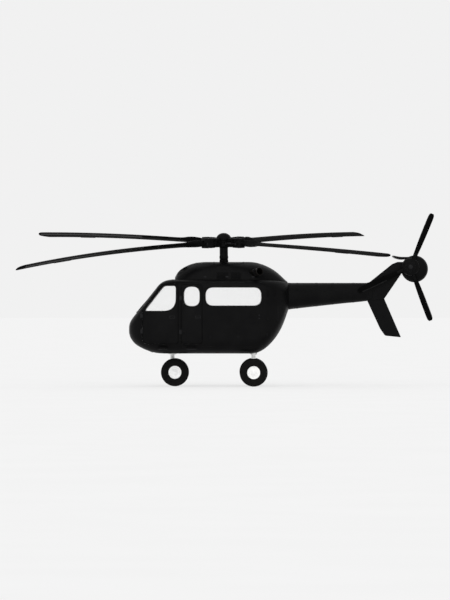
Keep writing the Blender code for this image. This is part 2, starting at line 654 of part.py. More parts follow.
def main_blade(azimuth, lag, flap, pitch, droop):
    """A blade with its fork, in the rotor's frame. The cheeks lie over and under the arm's barrel."""
    rings = []
    for share, chord_share, thick_share in BLADE:
        radius = share * ROTOR_RADIUS
        rise = (radius - HINGE_R) * sin(radians(flap)) - droop * share ** DROOP_POWER
        section = pitched(airfoil(CHORD * chord_share, BLADE_THICK * thick_share), radians(pitch))
        rings.append([(radius - HINGE_R, v, w + rise) for v, w in section])
    blade = loft(rings)
    grip = box((-GRIP_HALF_WIDTH, -GRIP_HALF_WIDTH, CHEEK_LOW),
               (GRIP_LENGTH, GRIP_HALF_WIDTH, CHEEK_HIGH), rounded=0.02)
    taper = rod((GRIP_LENGTH - 0.02, 0, 0), (GRIP_LENGTH + 0.30, 0, -0.004), 0.085, 0.055, segments=16)
    join(blade, taper, grip)
    room = BARREL_HALF_HEIGHT + SEAM
    slot = rod((0, 0, -room), (0, 0, room), BARREL_RADIUS + 5 * SEAM, segments=24)
    inner = box((-0.2, -0.2, -room), (0, 0.2, room))
    cut(blade, slot, inner)
    centre = Matrix.Rotation(radians(azimuth), 4, "Z") @ Matrix.Translation((HINGE_R, 0, 0))
    return moved(blade, mast_frame() @ centre @ Matrix.Rotation(radians(lag), 4, "Z"))


def moved(obj, matrix):
    obj.matrix_world = matrix
    return bake(obj)


def shoulder():
    """The tall part of an arm, low enough under the cap and clear of the blade's fork."""
    inner, outer, clear_of_cap = 0.05, SHOULDER_R, CAP_RADIUS + 0.008
    wide = SHOULDER_HALF_WIDTH
    return (box((inner, -wide, SHOULDER_LOW), (outer, wide, DRUM_HIGH - 0.006)),
            box((clear_of_cap, -wide, 0.0), (outer - 0.001, wide, SHOULDER_HIGH)))


def build_main_rotor():
    """Drum, four arms with drag hinge barrels, blades, mast and cap."""
    head = rod((0, 0, DRUM_LOW), (0, 0, DRUM_HIGH), DRUM_RADIUS, segments=24)
    for azimuth in ARM_AZIMUTHS:
        arm = box((0.05, -ARM_HALF_WIDTH, -ARM_HALF_HEIGHT), (HINGE_R, ARM_HALF_WIDTH, ARM_HALF_HEIGHT))
        low, high = (HINGE_R, 0, -BARREL_HALF_HEIGHT), (HINGE_R, 0, BARREL_HALF_HEIGHT)
        join(arm, rod(low, high, BARREL_RADIUS, segments=24), *shoulder())
        join(head, moved(arm, Matrix.Rotation(radians(azimuth), 4, "Z")))
    as_part(moved(head, mast_frame()), "rotor_head", "rotor_black")
    as_part(on_mast(MAST_RADIUS, SEAM - MAST_LENGTH, DRUM_LOW - SEAM), "rotor_mast", "rotor_black")
    rim = DRUM_HIGH + SEAM
    dome = [(0.0, rim), (CAP_RADIUS, rim)]
    for k in range(6):
        angle = pi / 2 * k / 6
        dome.append((CAP_RADIUS * cos(angle), rim + 0.03 + (CAP_HEIGHT - 0.03) * sin(angle)))
    dome += [(0.0, rim + CAP_HEIGHT)]
    as_part(moved(turned(dome, (0, 0, 0), (0, 0, 1), 24), mast_frame()), "rotor_cap", "rotor_black")
    for number, azimuth in enumerate(ARM_AZIMUTHS, start=1):
        as_part(main_blade(azimuth, *PARKED[number - 1]), f"main_blade_{number}", "blade_black")


def boom_ring(row, steps=BOOM_STEPS):
    station, z_bottom, z_top, half_width = row
    middle, half_height = (z_bottom + z_top) / 2, (z_top - z_bottom) / 2
    ring = []
    for k in range(steps):
        angle = 2 * pi * k / steps
        across, up = cos(angle), sin(angle)
        y = half_width * abs(across) ** 0.8 * (1 if across >= 0 else -1)
        z = middle + half_height * abs(up) ** 0.8 * (1 if up >= 0 else -1)
        ring.append((at(station), y, z))
    return ring


def build_tail():
    centre = (at(TAIL_DISC_STATION), 0, TAIL_DISC_Z)
    boom = loft([boom_ring(row) for row in BOOM])
    pylon = bevel(flat_prism(PYLON, PYLON_HALF_THICK), FIN_EDGE, 3, angle=60)
    ventral = bevel(flat_prism(VENTRAL, VENTRAL_HALF_THICK), FIN_EDGE * 0.9, 3, angle=60)
    housing = turned([(r, -y) for r, y in TAIL_HOUSING], centre, (0, -1, 0), 32)
    grown = [(r + SEAM * (r > 0), -y + SEAM * (1 if y < 0 else -1)) for r, y in TAIL_HOUSING]
    wider = turned(grown, centre, (0, -1, 0), 32)
    as_part(cut(pylon, wider, grown_boom(), fin_seam(-1)), "tail_pylon", "tail_black")
    as_part(cut(ventral, grown_boom(), fin_seam(1)), "ventral_fin", "tail_black")
    as_part(cut(stabiliser(), wider), "stabiliser", "tail_black")
    as_part(boom, "tail_boom", "tail_black")
    as_part(housing, "tail_gearbox", "body_black")


def stabiliser():
    """Fin across the top of the tail gearbox to starboard, hollow above, with a brace under it."""
    (middle, middle_z) = STABILISER_MIDDLE
    upper = [(station, z_top) for station, z_top, thickness in STABILISER]
    lower = [(station, z_top - thickness) for station, z_top, thickness in reversed(STABILISER)]
    fin = loft([[(at(middle + (station - middle) * size), y, middle_z + (z - middle_z) * size)
                 for station, z in upper + lower] for y, size in STABILISER_SPAN])
    foot, top = [(at(station), y, z) for station, y, z in (BRACE_FOOT, BRACE_TOP)]
    return join(fin, rod(foot, top, BRACE_RADIUS, segments=12))


def fin_seam(up):
    """Cutter for all that lies above (1) or below (-1) the line where the pylon and ventral fin meet."""
    (low, z_low), (high, z_high) = FIN_SEAM_LOW, FIN_SEAM_HIGH
    shift = -SEAM / 2 * up
    outline = [(low, z_low + shift), (high, z_high + shift), (high, z_high + up), (low, z_low + up)]
    return prism(outline, lambda u, v, y: (at(u), y, v), -0.5, 0.5)


def grown_boom():
    """The boom's form with the seam added, as a cutter for what meets it."""
    rows = [(station + SEAM * (k == len(BOOM) - 1), low - SEAM, high + SEAM, half + SEAM)
            for k, (station, low, high, half) in enumerate(BOOM)]
    return loft([boom_ring(row) for row in rows])


def build_tail_rotor():
    centre = Vector((at(TAIL_AXIS_STATION), 0, TAIL_AXIS_Z))
    hub = turned([(r, -y) for r, y in TAIL_HUB], centre, (0, -1, 0), 32)
    wider = [(r + SEAM * (r > 0), -y + (SEAM if y < TAIL_ROTOR_Y else -SEAM)) for r, y in TAIL_HUB]
    grown = turned(wider, centre, (0, -1, 0), 32)
    for number, azimuth in enumerate(TAIL_AZIMUTHS, start=1):
        rings = [[(radius, v, w) for v, w in pitched(airfoil(chord, thick, 5), TAIL_PITCH)]
                 for radius, chord, thick in TAIL_BLADE]
        blade = loft(rings)
        upright = Matrix.Rotation(pi / 2, 4, "X")
        spin = Matrix.Rotation(-radians(azimuth), 4, "Y")
        moved(blade, Matrix.Translation(centre + Vector((0, TAIL_ROTOR_Y, 0))) @ spin @ upright)
        as_part(cut(blade, grown), f"tail_blade_{number}", "blade_black")
    as_part(hub, "tail_rotor_hub", "rotor_black")


def tyre_profile(width):
    """(radius, across) of a tyre, round the tread and back along the rim."""
    half = width / 2
    return [
        (RIM_RADIUS + SEAM, half * 0.74), (RIM_RADIUS + 0.05, half * 0.90), (TYRE_RADIUS * 0.78, half),
        (TYRE_RADIUS * 0.93, half * 0.90), (TYRE_RADIUS * 0.985, half * 0.62), (TYRE_RADIUS, half * 0.25),
        (TYRE_RADIUS, -half * 0.25), (TYRE_RADIUS * 0.985, -half * 0.62), (TYRE_RADIUS * 0.93, -half * 0.90),
        (TYRE_RADIUS * 0.78, -half), (RIM_RADIUS + 0.05, -half * 0.90), (RIM_RADIUS + SEAM, -half * 0.74),
    ]


def ring_solid(profile, centre, steps):
    """A turned ring about a line parallel to Y: its profile is closed on itself."""
    rings = []
    for k in range(steps):
        angle = 2 * pi * k / steps
        rings.append([(centre[0] + r * cos(angle), centre[1] + y, centre[2] + r * sin(angle))
                      for r, y in profile])
    bm = bmesh.new()
    rows = [[bm.verts.new(point) for point in ring] for ring in rings]
    for k in range(steps):
        near, far = rows[k], rows[(k + 1) % steps]
        for j in range(len(near)):
            follow = (j + 1) % len(near)
            bm.faces.new((near[j], near[follow], far[follow], far[j]))
    return outward(from_bmesh(bm))


def wheel(centre, width, outside, word):
    """A tyre and a dished rim with a hub cap on its outer face."""
    as_part(ring_solid(tyre_profile(width), centre, WHEEL_STEPS), f"{word}_tyre", "tyre_rubber")
    half = width / 2
    dish = [
        (BORE_RADIUS, half * 0.95), (0.075, half * 0.95), (0.085, half * 0.72),
        (RIM_RADIUS * 0.86, half * 0.62),
        (RIM_RADIUS * 0.93, half * 0.78), (RIM_RADIUS, half * 0.78), (RIM_RADIUS, -half * 0.78),
        (RIM_RADIUS * 0.93, -half * 0.78), (RIM_RADIUS * 0.86, -half * 0.40), (0.085, -half * 0.50),
        (0.075, -half * 0.80), (BORE_RADIUS, -half * 0.80),
    ]
    rim = ring_solid([(r, outside * y) for r, y in dish], centre, WHEEL_STEPS)
    as_part(rim, f"{word}_rim", "pale_paint")


def build_nose_gear():
    """A leg that carries a turning piston, its trailing knuckle and axle, and twin wheels."""
    station = NOSE_WHEEL_STATION - NOSE_TRAIL
    top = between_rows(HULL, station)[1] + 0.1
    leg = rod((at(station), 0, NOSE_COLLAR_Z), (at(station), 0, top), NOSE_LEG_RADIUS, segments=20)
    join(leg, box((at(station - 0.13), -0.11, 1.0), (at(station + 0.13), 0.11, top)))
    as_part(cut(leg, hull_solid(-SEAM)), "nose_leg", "pale_paint")
    piston = rod((at(station), 0, TYRE_RADIUS - 0.05), (at(station), 0, NOSE_COLLAR_Z - SEAM),
                 NOSE_PISTON_RADIUS)
    knuckle = box((at(station - 0.055), -0.055, TYRE_RADIUS - 0.06),
                  (at(NOSE_WHEEL_STATION + 0.055), 0.055, TYRE_RADIUS + 0.06), rounded=0.015)
    reach = NOSE_WHEEL_Y + NOSE_TYRE_WIDTH * 0.40
    axle = rod((at(NOSE_WHEEL_STATION), -reach, TYRE_RADIUS), (at(NOSE_WHEEL_STATION), reach, TYRE_RADIUS),
               BORE_RADIUS - AXLE_CLEARANCE, segments=WHEEL_STEPS)
    as_part(join(piston, knuckle, axle), "nose_piston", "bright_steel")
    for side, word in SIDES:
        centre = (at(NOSE_WHEEL_STATION), side * NOSE_WHEEL_Y, TYRE_RADIUS)
        wheel(centre, NOSE_TYRE_WIDTH, side, f"nose_{word}")


def build_main_gear():
    """Each side: a leg with its foot on the belly, a side brace, an axle, and a wheel."""
    for side, word in SIDES:
        centre = Vector((at(MAIN_WHEEL_STATION), side * MAIN_WHEEL_Y, TYRE_RADIUS))
        foot = Vector((centre.x, side * MAIN_LEG_Y, TYRE_RADIUS))
        leg = rod((foot.x, foot.y, TYRE_RADIUS - 0.07), (foot.x, foot.y, 1.35), MAIN_LEG_RADIUS)
        brace = rod((foot.x, foot.y - side * 0.01, 0.62), (foot.x, side * 0.24, 1.14), 0.028, segments=12)
        near, far = sorted((side * 0.19, side * 0.40))
        pad = box((foot.x - 0.11, near, 1.0), (foot.x + 0.11, far, 1.16))
        tip = side * (MAIN_WHEEL_Y + MAIN_TYRE_WIDTH * 0.40)
        axle = rod((foot.x, foot.y - side * 0.03, TYRE_RADIUS), (foot.x, tip, TYRE_RADIUS),
                   BORE_RADIUS - AXLE_CLEARANCE, segments=WHEEL_STEPS)
        join(leg, brace, pad, axle)
        as_part(cut(leg, hull_solid(-SEAM)), f"main_leg_{word}", "pale_paint")
        wheel(centre, MAIN_TYRE_WIDTH, side, f"main_{word}")


def build_cabin():
    """Pilot seats, the cabin bench and the instrument panel, all on the cabin floor."""
    floor = FLOOR_TOP + SEAM
    for side, word in SIDES:
        y = side * SEAT_Y
        half, depth = SEAT_WIDTH / 2, SEAT_DEPTH / 2
        seat = box((at(SEAT_STATION - depth), y - half, SEAT_CUSHION_Z - SEAT_PAD),
                   (at(SEAT_STATION + depth), y + half, SEAT_CUSHION_Z), rounded=0.03)
        back = box((at(SEAT_STATION + depth - SEAT_PAD), y - half, SEAT_CUSHION_Z - SEAT_PAD),
                   (at(SEAT_STATION + depth), y + half, SEAT_BACK_TOP), rounded=0.03)
        foot = box((at(SEAT_STATION - 0.14), y - 0.14, floor),
                   (at(SEAT_STATION + 0.14), y + 0.14, SEAT_CUSHION_Z - 0.05))
        as_part(join(seat, back, foot), f"pilot_seat_{word}", "seat_fabric")
    front, rear = BENCH_STATIONS
    bench = box((at(front), -BENCH_HALF_WIDTH, floor), (at(rear), BENCH_HALF_WIDTH, BENCH_TOP), rounded=0.03)
    rest = box((at(rear - 0.12), -BENCH_HALF_WIDTH, BENCH_TOP - 0.1),
               (at(rear), BENCH_HALF_WIDTH, BENCH_BACK_TOP), rounded=0.03)
    as_part(common(join(bench, rest), hull_solid(WALL + 2 * SEAM)), "cabin_bench", "seat_fabric")
    front, rear = PANEL_STATIONS
    panel = box((at(front), -PANEL_HALF_WIDTH, PANEL_Z[0]), (at(rear), PANEL_HALF_WIDTH, PANEL_Z[1]),
                rounded=0.03)
    join(panel, box((at(front + 0.1), -0.11, floor), (at(rear - 0.02), 0.11, PANEL_Z[0] + 0.05)))
    as_part(common(panel, hull_solid(WALL + 2 * SEAM)), "instrument_panel", "dark_metal")


def pivots():
    """A point on its joint's axis for each piece that turns, by the start of its name."""
    nose_wheels = (at(NOSE_WHEEL_STATION), 0, TYRE_RADIUS)
    main_hub = mast_frame().translation
    tail_hub = (at(TAIL_AXIS_STATION), TAIL_ROTOR_Y, TAIL_AXIS_Z)
    made = {
        "nose_piston": (at(NOSE_WHEEL_STATION - NOSE_TRAIL), 0, NOSE_COLLAR_Z),
        "rotor_": main_hub, "main_blade_": main_hub, "tail_rotor_": tail_hub, "tail_blade_": tail_hub,
    }
    for side, word in SIDES:
        made[f"nose_{word}_"] = nose_wheels
        made[f"main_{word}_"] = (at(MAIN_WHEEL_STATION), side * MAIN_WHEEL_Y, TYRE_RADIUS)
        for label, door, window, hinge_z in DOORS:
            station, half_width = hinge_line(door)
            hinge = (at(station), side * half_width, sum(hinge_z) / 2)
            made[f"{label}_door_{word}"] = made[f"{label}_door_glass_{word}"] = hinge
    return made


def place_pieces():
    """Sets each turning piece's origin on its axis, and the machine in the middle of its plan box."""
    points = pivots()
    for obj in PARTS.objects:
        found = [point for start, point in points.items() if obj.name.startswith(start)]
        pivot = Vector(found[0] if found else (0, 0, 0))
        obj.data.transform(Matrix.Translation(-pivot))
        obj.location = pivot + Vector((0, MAST_Y, 0))


build_hull()
build_powerplant()
build_main_rotor()
build_tail()
build_tail_rotor()
build_nose_gear()
build_main_gear()
build_cabin()
place_pieces()
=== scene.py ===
import bmesh
import bpy
from math import atan2, cos, exp, pi, radians, sin, sqrt
from mathutils import Matrix, Vector


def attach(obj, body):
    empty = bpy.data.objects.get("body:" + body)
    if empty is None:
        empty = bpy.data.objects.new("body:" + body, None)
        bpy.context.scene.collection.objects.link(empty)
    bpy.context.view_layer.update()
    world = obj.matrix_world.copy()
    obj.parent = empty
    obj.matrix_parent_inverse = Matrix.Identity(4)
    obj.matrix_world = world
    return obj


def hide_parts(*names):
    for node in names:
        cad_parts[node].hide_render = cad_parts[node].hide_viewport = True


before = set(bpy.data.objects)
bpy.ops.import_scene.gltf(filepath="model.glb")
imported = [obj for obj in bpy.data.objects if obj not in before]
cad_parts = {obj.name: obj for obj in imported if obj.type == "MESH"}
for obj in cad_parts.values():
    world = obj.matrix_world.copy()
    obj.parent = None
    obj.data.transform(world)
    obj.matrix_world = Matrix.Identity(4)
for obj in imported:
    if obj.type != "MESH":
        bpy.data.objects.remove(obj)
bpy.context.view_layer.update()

# Places along the machine: the same values as the CAD source. Stations are distances aft of the mast.
MAST_X, MAST_Y = -0.082, -0.168
SEAM = 0.0004
PORT, STARBOARD = -1, 1
SIDES = ((PORT, "port"), (STARBOARD, "starboard"))
WALL, CROWN = 0.06, 0.02
ARC_STEPS, CORNER_STEPS, SMALLEST_CORNER = 10, 9, 0.004
COCKPIT_REAR, CABIN_REAR = -1.365, 1.24
BELLY_SEAM_Z, ROOF_SEAM_Z = 1.24, 3.235
FLOOR_TOP = 1.30
HULL = (
    (-2.950, 1.660, 1.900, 0.36, 0.11, 0.11),
    (-2.925, 1.560, 1.995, 0.48, 0.20, 0.16),
    (-2.870, 1.455, 2.095, 0.59, 0.26, 0.20),
    (-2.760, 1.325, 2.240, 0.71, 0.32, 0.22),
    (-2.600, 1.220, 2.431, 0.825, 0.36, 0.22),
    (-2.350, 1.110, 2.735, 0.935, 0.40, 0.22),
    (-2.100, 1.043, 3.062, 1.005, 0.42, 0.22),
    (-2.010, 1.033, 3.176, 1.020, 0.42, 0.22),
    (-1.920, 1.028, 3.246, 1.032, 0.42, 0.22),
    (-1.820, 1.025, 3.294, 1.041, 0.42, 0.23),
    (-1.600, 1.025, 3.335, 1.050, 0.42, 0.26),
    (-1.300, 1.025, 3.338, 1.050, 0.42, 0.28),
    (0.820, 1.025, 3.338, 1.050, 0.42, 0.28),
    (1.040, 1.053, 3.338, 1.048, 0.42, 0.28),
    (1.277, 1.178, 3.336, 1.030, 0.42, 0.29),
    (1.402, 1.281, 3.332, 1.000, 0.42, 0.30),
    (1.520, 1.403, 3.325, 0.955, 0.41, 0.31),
    (1.650, 1.569, 3.316, 0.880, 0.40, 0.32),
    (1.790, 1.803, 3.300, 0.765, 0.38, 0.32),
    (1.900, 2.060, 3.278, 0.640, 0.34, 0.31),
    (1.975, 2.270, 3.250, 0.520, 0.31, 0.29),
    (2.020, 2.394, 3.225, 0.420, 0.28, 0.28),
)
COCKPIT_WINDOW = (
    (-2.461, 2.352, 0.03), (-1.859, 3.128, 0.20), (-1.489, 3.128, 0.08), (-1.489, 2.352, 0.40),
)
DOOR_WINDOW = ((-1.239, 2.500, 0.23), (-1.239, 3.103, 0.23), (-0.751, 3.103, 0.23), (-0.751, 2.500, 0.23))
CABIN_WINDOW = ((-0.561, 2.516, 0.24), (-0.561, 3.078, 0.24), (1.173, 3.078, 0.24), (1.173, 2.516, 0.24))
COCKPIT_DOOR = (
    (-2.520, 1.400, 0.16), (-2.520, 2.382, 0.02), (-1.901, 3.180, 0.12),
    (-1.422, 3.180, 0.06), (-1.422, 1.330, 0.10), (-2.350, 1.330, 0.16),
)
CABIN_DOOR = ((-1.312, 1.330, 0.10), (-1.312, 3.170, 0.10), (-0.678, 3.170, 0.10), (-0.678, 1.330, 0.10))
DOOR_GAP, CLOSING_EDGE_GAP = 0.010, 0.016
TOP_CORNER_Z, TOP_CORNER_GAP = 3.0, 0.024
GLASS_INSET, GLASS_THICK = 0.020, 0.010
SIDE_CUT_INNER_Y, SIDE_CUT_OUTER_Y = 0.60, 1.30         # a cutter through one side reaches from and to here
HINGE_RADIUS, HINGE_HEIGHT, HINGE_STAND_OFF = 0.014, 0.14, 0.004
COCKPIT_HINGE_Z, CABIN_HINGE_Z = (1.72, 2.20), (1.70, 2.75)
WINDSCREEN_LOW, WINDSCREEN_HIGH = (-2.655, 2.364), (-2.075, 3.094)
WINDSCREEN_POST, WINDSCREEN_LOW_Y, WINDSCREEN_HIGH_Y, WINDSCREEN_CORNER = 0.045, 0.60, 0.75, 0.07
COWL = (
    (-1.520, 3.400, 0.46), (-1.433, 3.553, 0.59), (-1.295, 3.678, 0.68), (-1.040, 3.803, 0.755),
    (-0.850, 3.853, 0.78), (-0.550, 3.880, 0.80), (0.780, 3.880, 0.80), (0.950, 3.869, 0.79),
    (1.200, 3.803, 0.745), (1.480, 3.678, 0.66), (1.664, 3.553, 0.58), (1.805, 3.428, 0.51),
    (1.917, 3.320, 0.45), (1.990, 3.262, 0.41),
)
COWL_BASE_Z, COWL_SKIN, COWL_ROUNDNESS, COWL_STEPS = 3.08, 0.04, 2.5, 44
INTAKE_Y, INTAKE_Z, INTAKE_RADIUS = 0.36, 3.60, 0.115
EXHAUST_RADIUS, EXHAUST_WALL = 0.115, 0.010
EXHAUST_FROM, EXHAUST_TO = (0.80, 0.405, 3.50), (1.12, 0.98, 3.58)
HUB_Z = 4.475
MAST_FORWARD, MAST_PORT = radians(0.5), radians(3.5)
MAST_RADIUS, MAST_HOLE_RADIUS, MAST_LENGTH = 0.13, 0.16, 0.76
ROTOR_RADIUS = 7.64
ARM_AZIMUTHS = (45, 135, 225, 315)
PARKED = (                               # lag, flap, pitch in degrees, and droop, of each blade
    (9.9, 0.69, 11.3, 0.160), (6.2, 2.29, 17.7, 0.223),
    (-11.2, -0.80, 17.9, 0.422), (-5.3, -0.46, 4.4, 0.089),
)
DROOP_POWER = 2.4
HINGE_R = 0.56
DRUM_RADIUS, DRUM_LOW, DRUM_HIGH = 0.20, -0.125, 0.095
SHOULDER_R, SHOULDER_HALF_WIDTH, SHOULDER_LOW, SHOULDER_HIGH = 0.44, 0.082, -0.123, 0.160
BARREL_RADIUS, BARREL_HALF_HEIGHT = 0.085, 0.095
CHEEK_LOW, CHEEK_HIGH, GRIP_HALF_WIDTH, GRIP_LENGTH = -0.135, 0.165, 0.095, 0.30
CHORD, BLADE_THICK = 0.50, 0.100
BLADE = (
    (0.112, 0.34, 2.10), (0.150, 0.62, 2.45), (0.178, 0.94, 2.10), (0.196, 1.00, 1.45), (0.216, 1.00, 1.10),
    (0.250, 1.00, 1.00), (0.400, 1.00, 1.00), (0.560, 1.00, 1.00), (0.720, 1.00, 1.00), (0.860, 1.00, 1.00),
    (0.985, 1.00, 1.00), (0.995, 0.96, 0.85), (1.000, 0.88, 0.50),
)
CAP_RADIUS, CAP_HEIGHT = 0.232, 0.215
BOOM = (
    (2.0204, 2.394, 3.225, 0.41), (2.90, 2.492, 3.225, 0.35), (3.70, 2.580, 3.225, 0.29),
    (4.44, 2.655, 3.225, 0.225), (4.64, 2.690, 3.200, 0.15),
)
PYLON = (
    (4.430, 2.480, 0.08), (4.400, 3.210, 0.02), (4.560, 3.250, 0.12), (5.265, 3.815, 0.10),
    (5.430, 3.880, 0.05), (5.960, 3.880, 0.02), (5.960, 3.588, 0.02), (5.600, 3.588, 0.02),
    (4.830, 2.460, 0.08),
)
VENTRAL = (
    (4.395, 2.860, 0.08), (4.956, 2.860, 0.08), (5.536, 1.525, 0.02), (5.040, 1.575, 0.10),
    (4.885, 1.795, 0.30),
)
FIN_SEAM_LOW, FIN_SEAM_HIGH = (4.20, 2.6357), (5.40, 2.7727)
PYLON_HALF_THICK, VENTRAL_HALF_THICK = 0.105, 0.075
STABILISER = ((5.298, 4.078, 0.030), (5.360, 4.066, 0.060), (5.450, 4.049, 0.074), (5.570, 4.037, 0.080),
              (5.700, 4.035, 0.070), (5.820, 4.043, 0.050), (5.930, 4.060, 0.018))
STABILISER_TIP_Y, STABILISER_ROOT_Y, STABILISER_MIDDLE = 1.18, -0.04, (5.62, 4.03)
BRACE_FOOT, BRACE_TOP, BRACE_RADIUS = (5.86, 0.14, 3.74), (5.80, 0.72, 4.01), 0.022
TAIL_DISC_STATION, TAIL_DISC_Z = 5.960, 3.662
TAIL_AXIS_STATION, TAIL_AXIS_Z = 5.823, 3.725
TAIL_HOUSING = (
    (0.0, -0.14), (0.26, -0.14), (0.37, -0.115), (0.42, -0.04), (0.42, 0.04), (0.35, 0.125),
    (0.16, 0.17), (0.0, 0.18),
)
TAIL_HUB = (
    (0.0, -0.1404), (0.075, -0.1404), (0.085, -0.230), (0.19, -0.245), (0.262, -0.290),
    (0.275, -0.335), (0.262, -0.380), (0.19, -0.425), (0.10, -0.445), (0.0, -0.450),
)
TAIL_ROTOR_Y = -0.335
TAIL_AZIMUTHS = (67.7, 205, 290.6)
TAIL_BLADE = ((0.18, 0.120, 0.045), (0.42, 0.140, 0.036), (0.80, 0.170, 0.026), (1.20, 0.185, 0.022),
              (1.60, 0.185, 0.019), (1.73, 0.165, 0.016), (1.79, 0.095, 0.010))
TAIL_PITCH = radians(10)
TYRE_RADIUS, RIM_RADIUS, BORE_RADIUS = 0.436, 0.205, 0.045
NOSE_WHEEL_STATION, NOSE_WHEEL_Y, NOSE_TYRE_WIDTH = -1.522, 0.195, 0.205
NOSE_TRAIL, NOSE_LEG_RADIUS, NOSE_PISTON_RADIUS, NOSE_COLLAR_Z = 0.08, 0.065, 0.045, 0.70
MAIN_WHEEL_STATION, MAIN_WHEEL_Y, MAIN_TYRE_WIDTH = 0.931, 0.80, 0.25
MAIN_LEG_Y, MAIN_LEG_RADIUS = 0.585, 0.062
SEAT_STATION, SEAT_Y, SEAT_WIDTH, SEAT_DEPTH = -1.73, 0.46, 0.48, 0.46
SEAT_CUSHION_Z, SEAT_BACK_TOP = 1.68, 2.33
BENCH_STATIONS, BENCH_HALF_WIDTH, BENCH_TOP, BENCH_BACK_TOP = (0.90, 1.36), 0.84, 1.74, 2.42
PANEL_STATIONS, PANEL_HALF_WIDTH, PANEL_Z = (-2.50, -2.26), 0.60, (1.86, 2.30)

SCENE = bpy.context.scene.collection
UP = (0, 0, 1)


def at(station):
    """World x of a station."""
    return station + MAST_X


def spot(station, y, z):
    """World point at a station, with the middle plane at y = 0."""
    return Vector((at(station), y, z))


def span(middle, half):
    """The two ends of a length about its middle."""
    return middle - half, middle + half


def circle(count, turn=0.0):
    """Even directions round a circle, as (cosine, sine)."""
    angles = [turn + 2 * pi * k / count for k in range(count)]
    return [(cos(angle), sin(angle)) for angle in angles]


# Materials


def nodes_of(name):
    made = bpy.data.materials.new(name)
    made.use_nodes = True
    tree = made.node_tree
    return made, tree, tree.nodes["Principled BSDF"]


def noise(tree, scale, detail=3.0, stretch=None):
    """A noise texture in object space; stretch squeezes it along the axes."""
    place = tree.nodes.new("ShaderNodeTexCoord")
    source = place.outputs["Object"]
    if stretch:
        mapping = tree.nodes.new("ShaderNodeMapping")
        mapping.inputs["Scale"].default_value = stretch
        tree.links.new(source, mapping.inputs["Vector"])
        source = mapping.outputs["Vector"]
    texture = tree.nodes.new("ShaderNodeTexNoise")
    texture.inputs["Scale"].default_value = scale
    texture.inputs["Detail"].default_value = detail
    tree.links.new(source, texture.inputs["Vector"])
    return texture.outputs["Fac"]


def ramp(tree, source, low, high):
    """Colour between two ends over the middle of the source's range."""
    made = tree.nodes.new("ShaderNodeValToRGB")
    for element, position, colour in zip(made.color_ramp.elements, (0.35, 0.65), (low, high)):
        element.position = position
        element.color = (*colour, 1)
    tree.links.new(source, made.inputs["Fac"])
    return made.outputs["Color"]


def spread(tree, source, low, high):
    """A value between two ends over the middle of the source's range."""
    made = tree.nodes.new("ShaderNodeMapRange")
    for key, value in (("From Min", 0.3), ("From Max", 0.7), ("To Min", low), ("To Max", high)):
        made.inputs[key].default_value = value
    tree.links.new(source, made.inputs["Value"])
    return made.outputs["Result"]


def bump(tree, shader, height, strength, distance):
    made = tree.nodes.new("ShaderNodeBump")
    made.inputs["Strength"].default_value = strength
    made.inputs["Distance"].default_value = distance
    tree.links.new(height, made.inputs["Height"])
    tree.links.new(made.outputs["Normal"], shader.inputs["Normal"])


def grey(tone):
    """A colour from one tone, or the colour itself."""
    return tone if isinstance(tone, tuple) else (tone, tone, tone)


def finish(name, low, high, rough, metallic=0.0, specular=0.5, patch=2.5, grain=180.0, depth=0.0006,
           stretch=None):
    """A surface with slow colour and gloss variation and a fine grain."""
    made, tree, shader = nodes_of(name)
    slow = noise(tree, patch, 4.0, stretch)
    tree.links.new(ramp(tree, slow, grey(low), grey(high)), shader.inputs["Base Color"])
    tree.links.new(spread(tree, slow, *rough), shader.inputs["Roughness"])
    shader.inputs["Metallic"].default_value = metallic
    shader.inputs["Specular IOR Level"].default_value = specular
    bump(tree, shader, noise(tree, grain, 2.0, stretch), 0.35, depth)
    return made


def weave(name, low, high, scale, depth=0.0015):
    """Cloth: two crossed sets of ribs and a slow change of tone."""
    made, tree, shader = nodes_of(name)
    place = tree.nodes.new("ShaderNodeTexCoord")
    heights = []
    for direction in ("X", "Z"):
        ribs = tree.nodes.new("ShaderNodeTexWave")
        ribs.bands_direction = direction
        ribs.inputs["Scale"].default_value = scale
        ribs.inputs["Distortion"].default_value = 0.6
        tree.links.new(place.outputs["Object"], ribs.inputs["Vector"])
        heights.append(ribs.outputs["Fac"])
    crossed = tree.nodes.new("ShaderNodeMath")
    crossed.operation = "MAXIMUM"
    for k, height in enumerate(heights):
        tree.links.new(height, crossed.inputs[k])
    tree.links.new(ramp(tree, noise(tree, 9.0, 5.0), grey(low), grey(high)), shader.inputs["Base Color"])
    shader.inputs["Roughness"].default_value = 0.9
    shader.inputs["Sheen Weight"].default_value = 0.3
    bump(tree, shader, crossed.outputs["Value"], 0.5, depth)
    return made


def clear(name, tint, alpha, rough=0.02):
    """Glass, as clear as its alpha is low."""
    made, tree, shader = nodes_of(name)
    shader.inputs["Base Color"].default_value = (*tint, 1)
    shader.inputs["Alpha"].default_value = alpha
    shader.inputs["Specular IOR Level"].default_value = 0.6
    tree.links.new(spread(tree, noise(tree, 5.0), rough, rough * 2.5), shader.inputs["Roughness"])
    made.surface_render_method = "BLENDED"
    return made


def lamp_lens(name, tint):
    made, tree, shader = nodes_of(name)
    colour = ramp(tree, noise(tree, 60.0), tint, [0.8 * c for c in tint])
    tree.links.new(colour, shader.inputs["Base Color"])
    shader.inputs["Roughness"].default_value = 0.08
    shader.inputs["Coat Weight"].default_value = 0.6
    return made


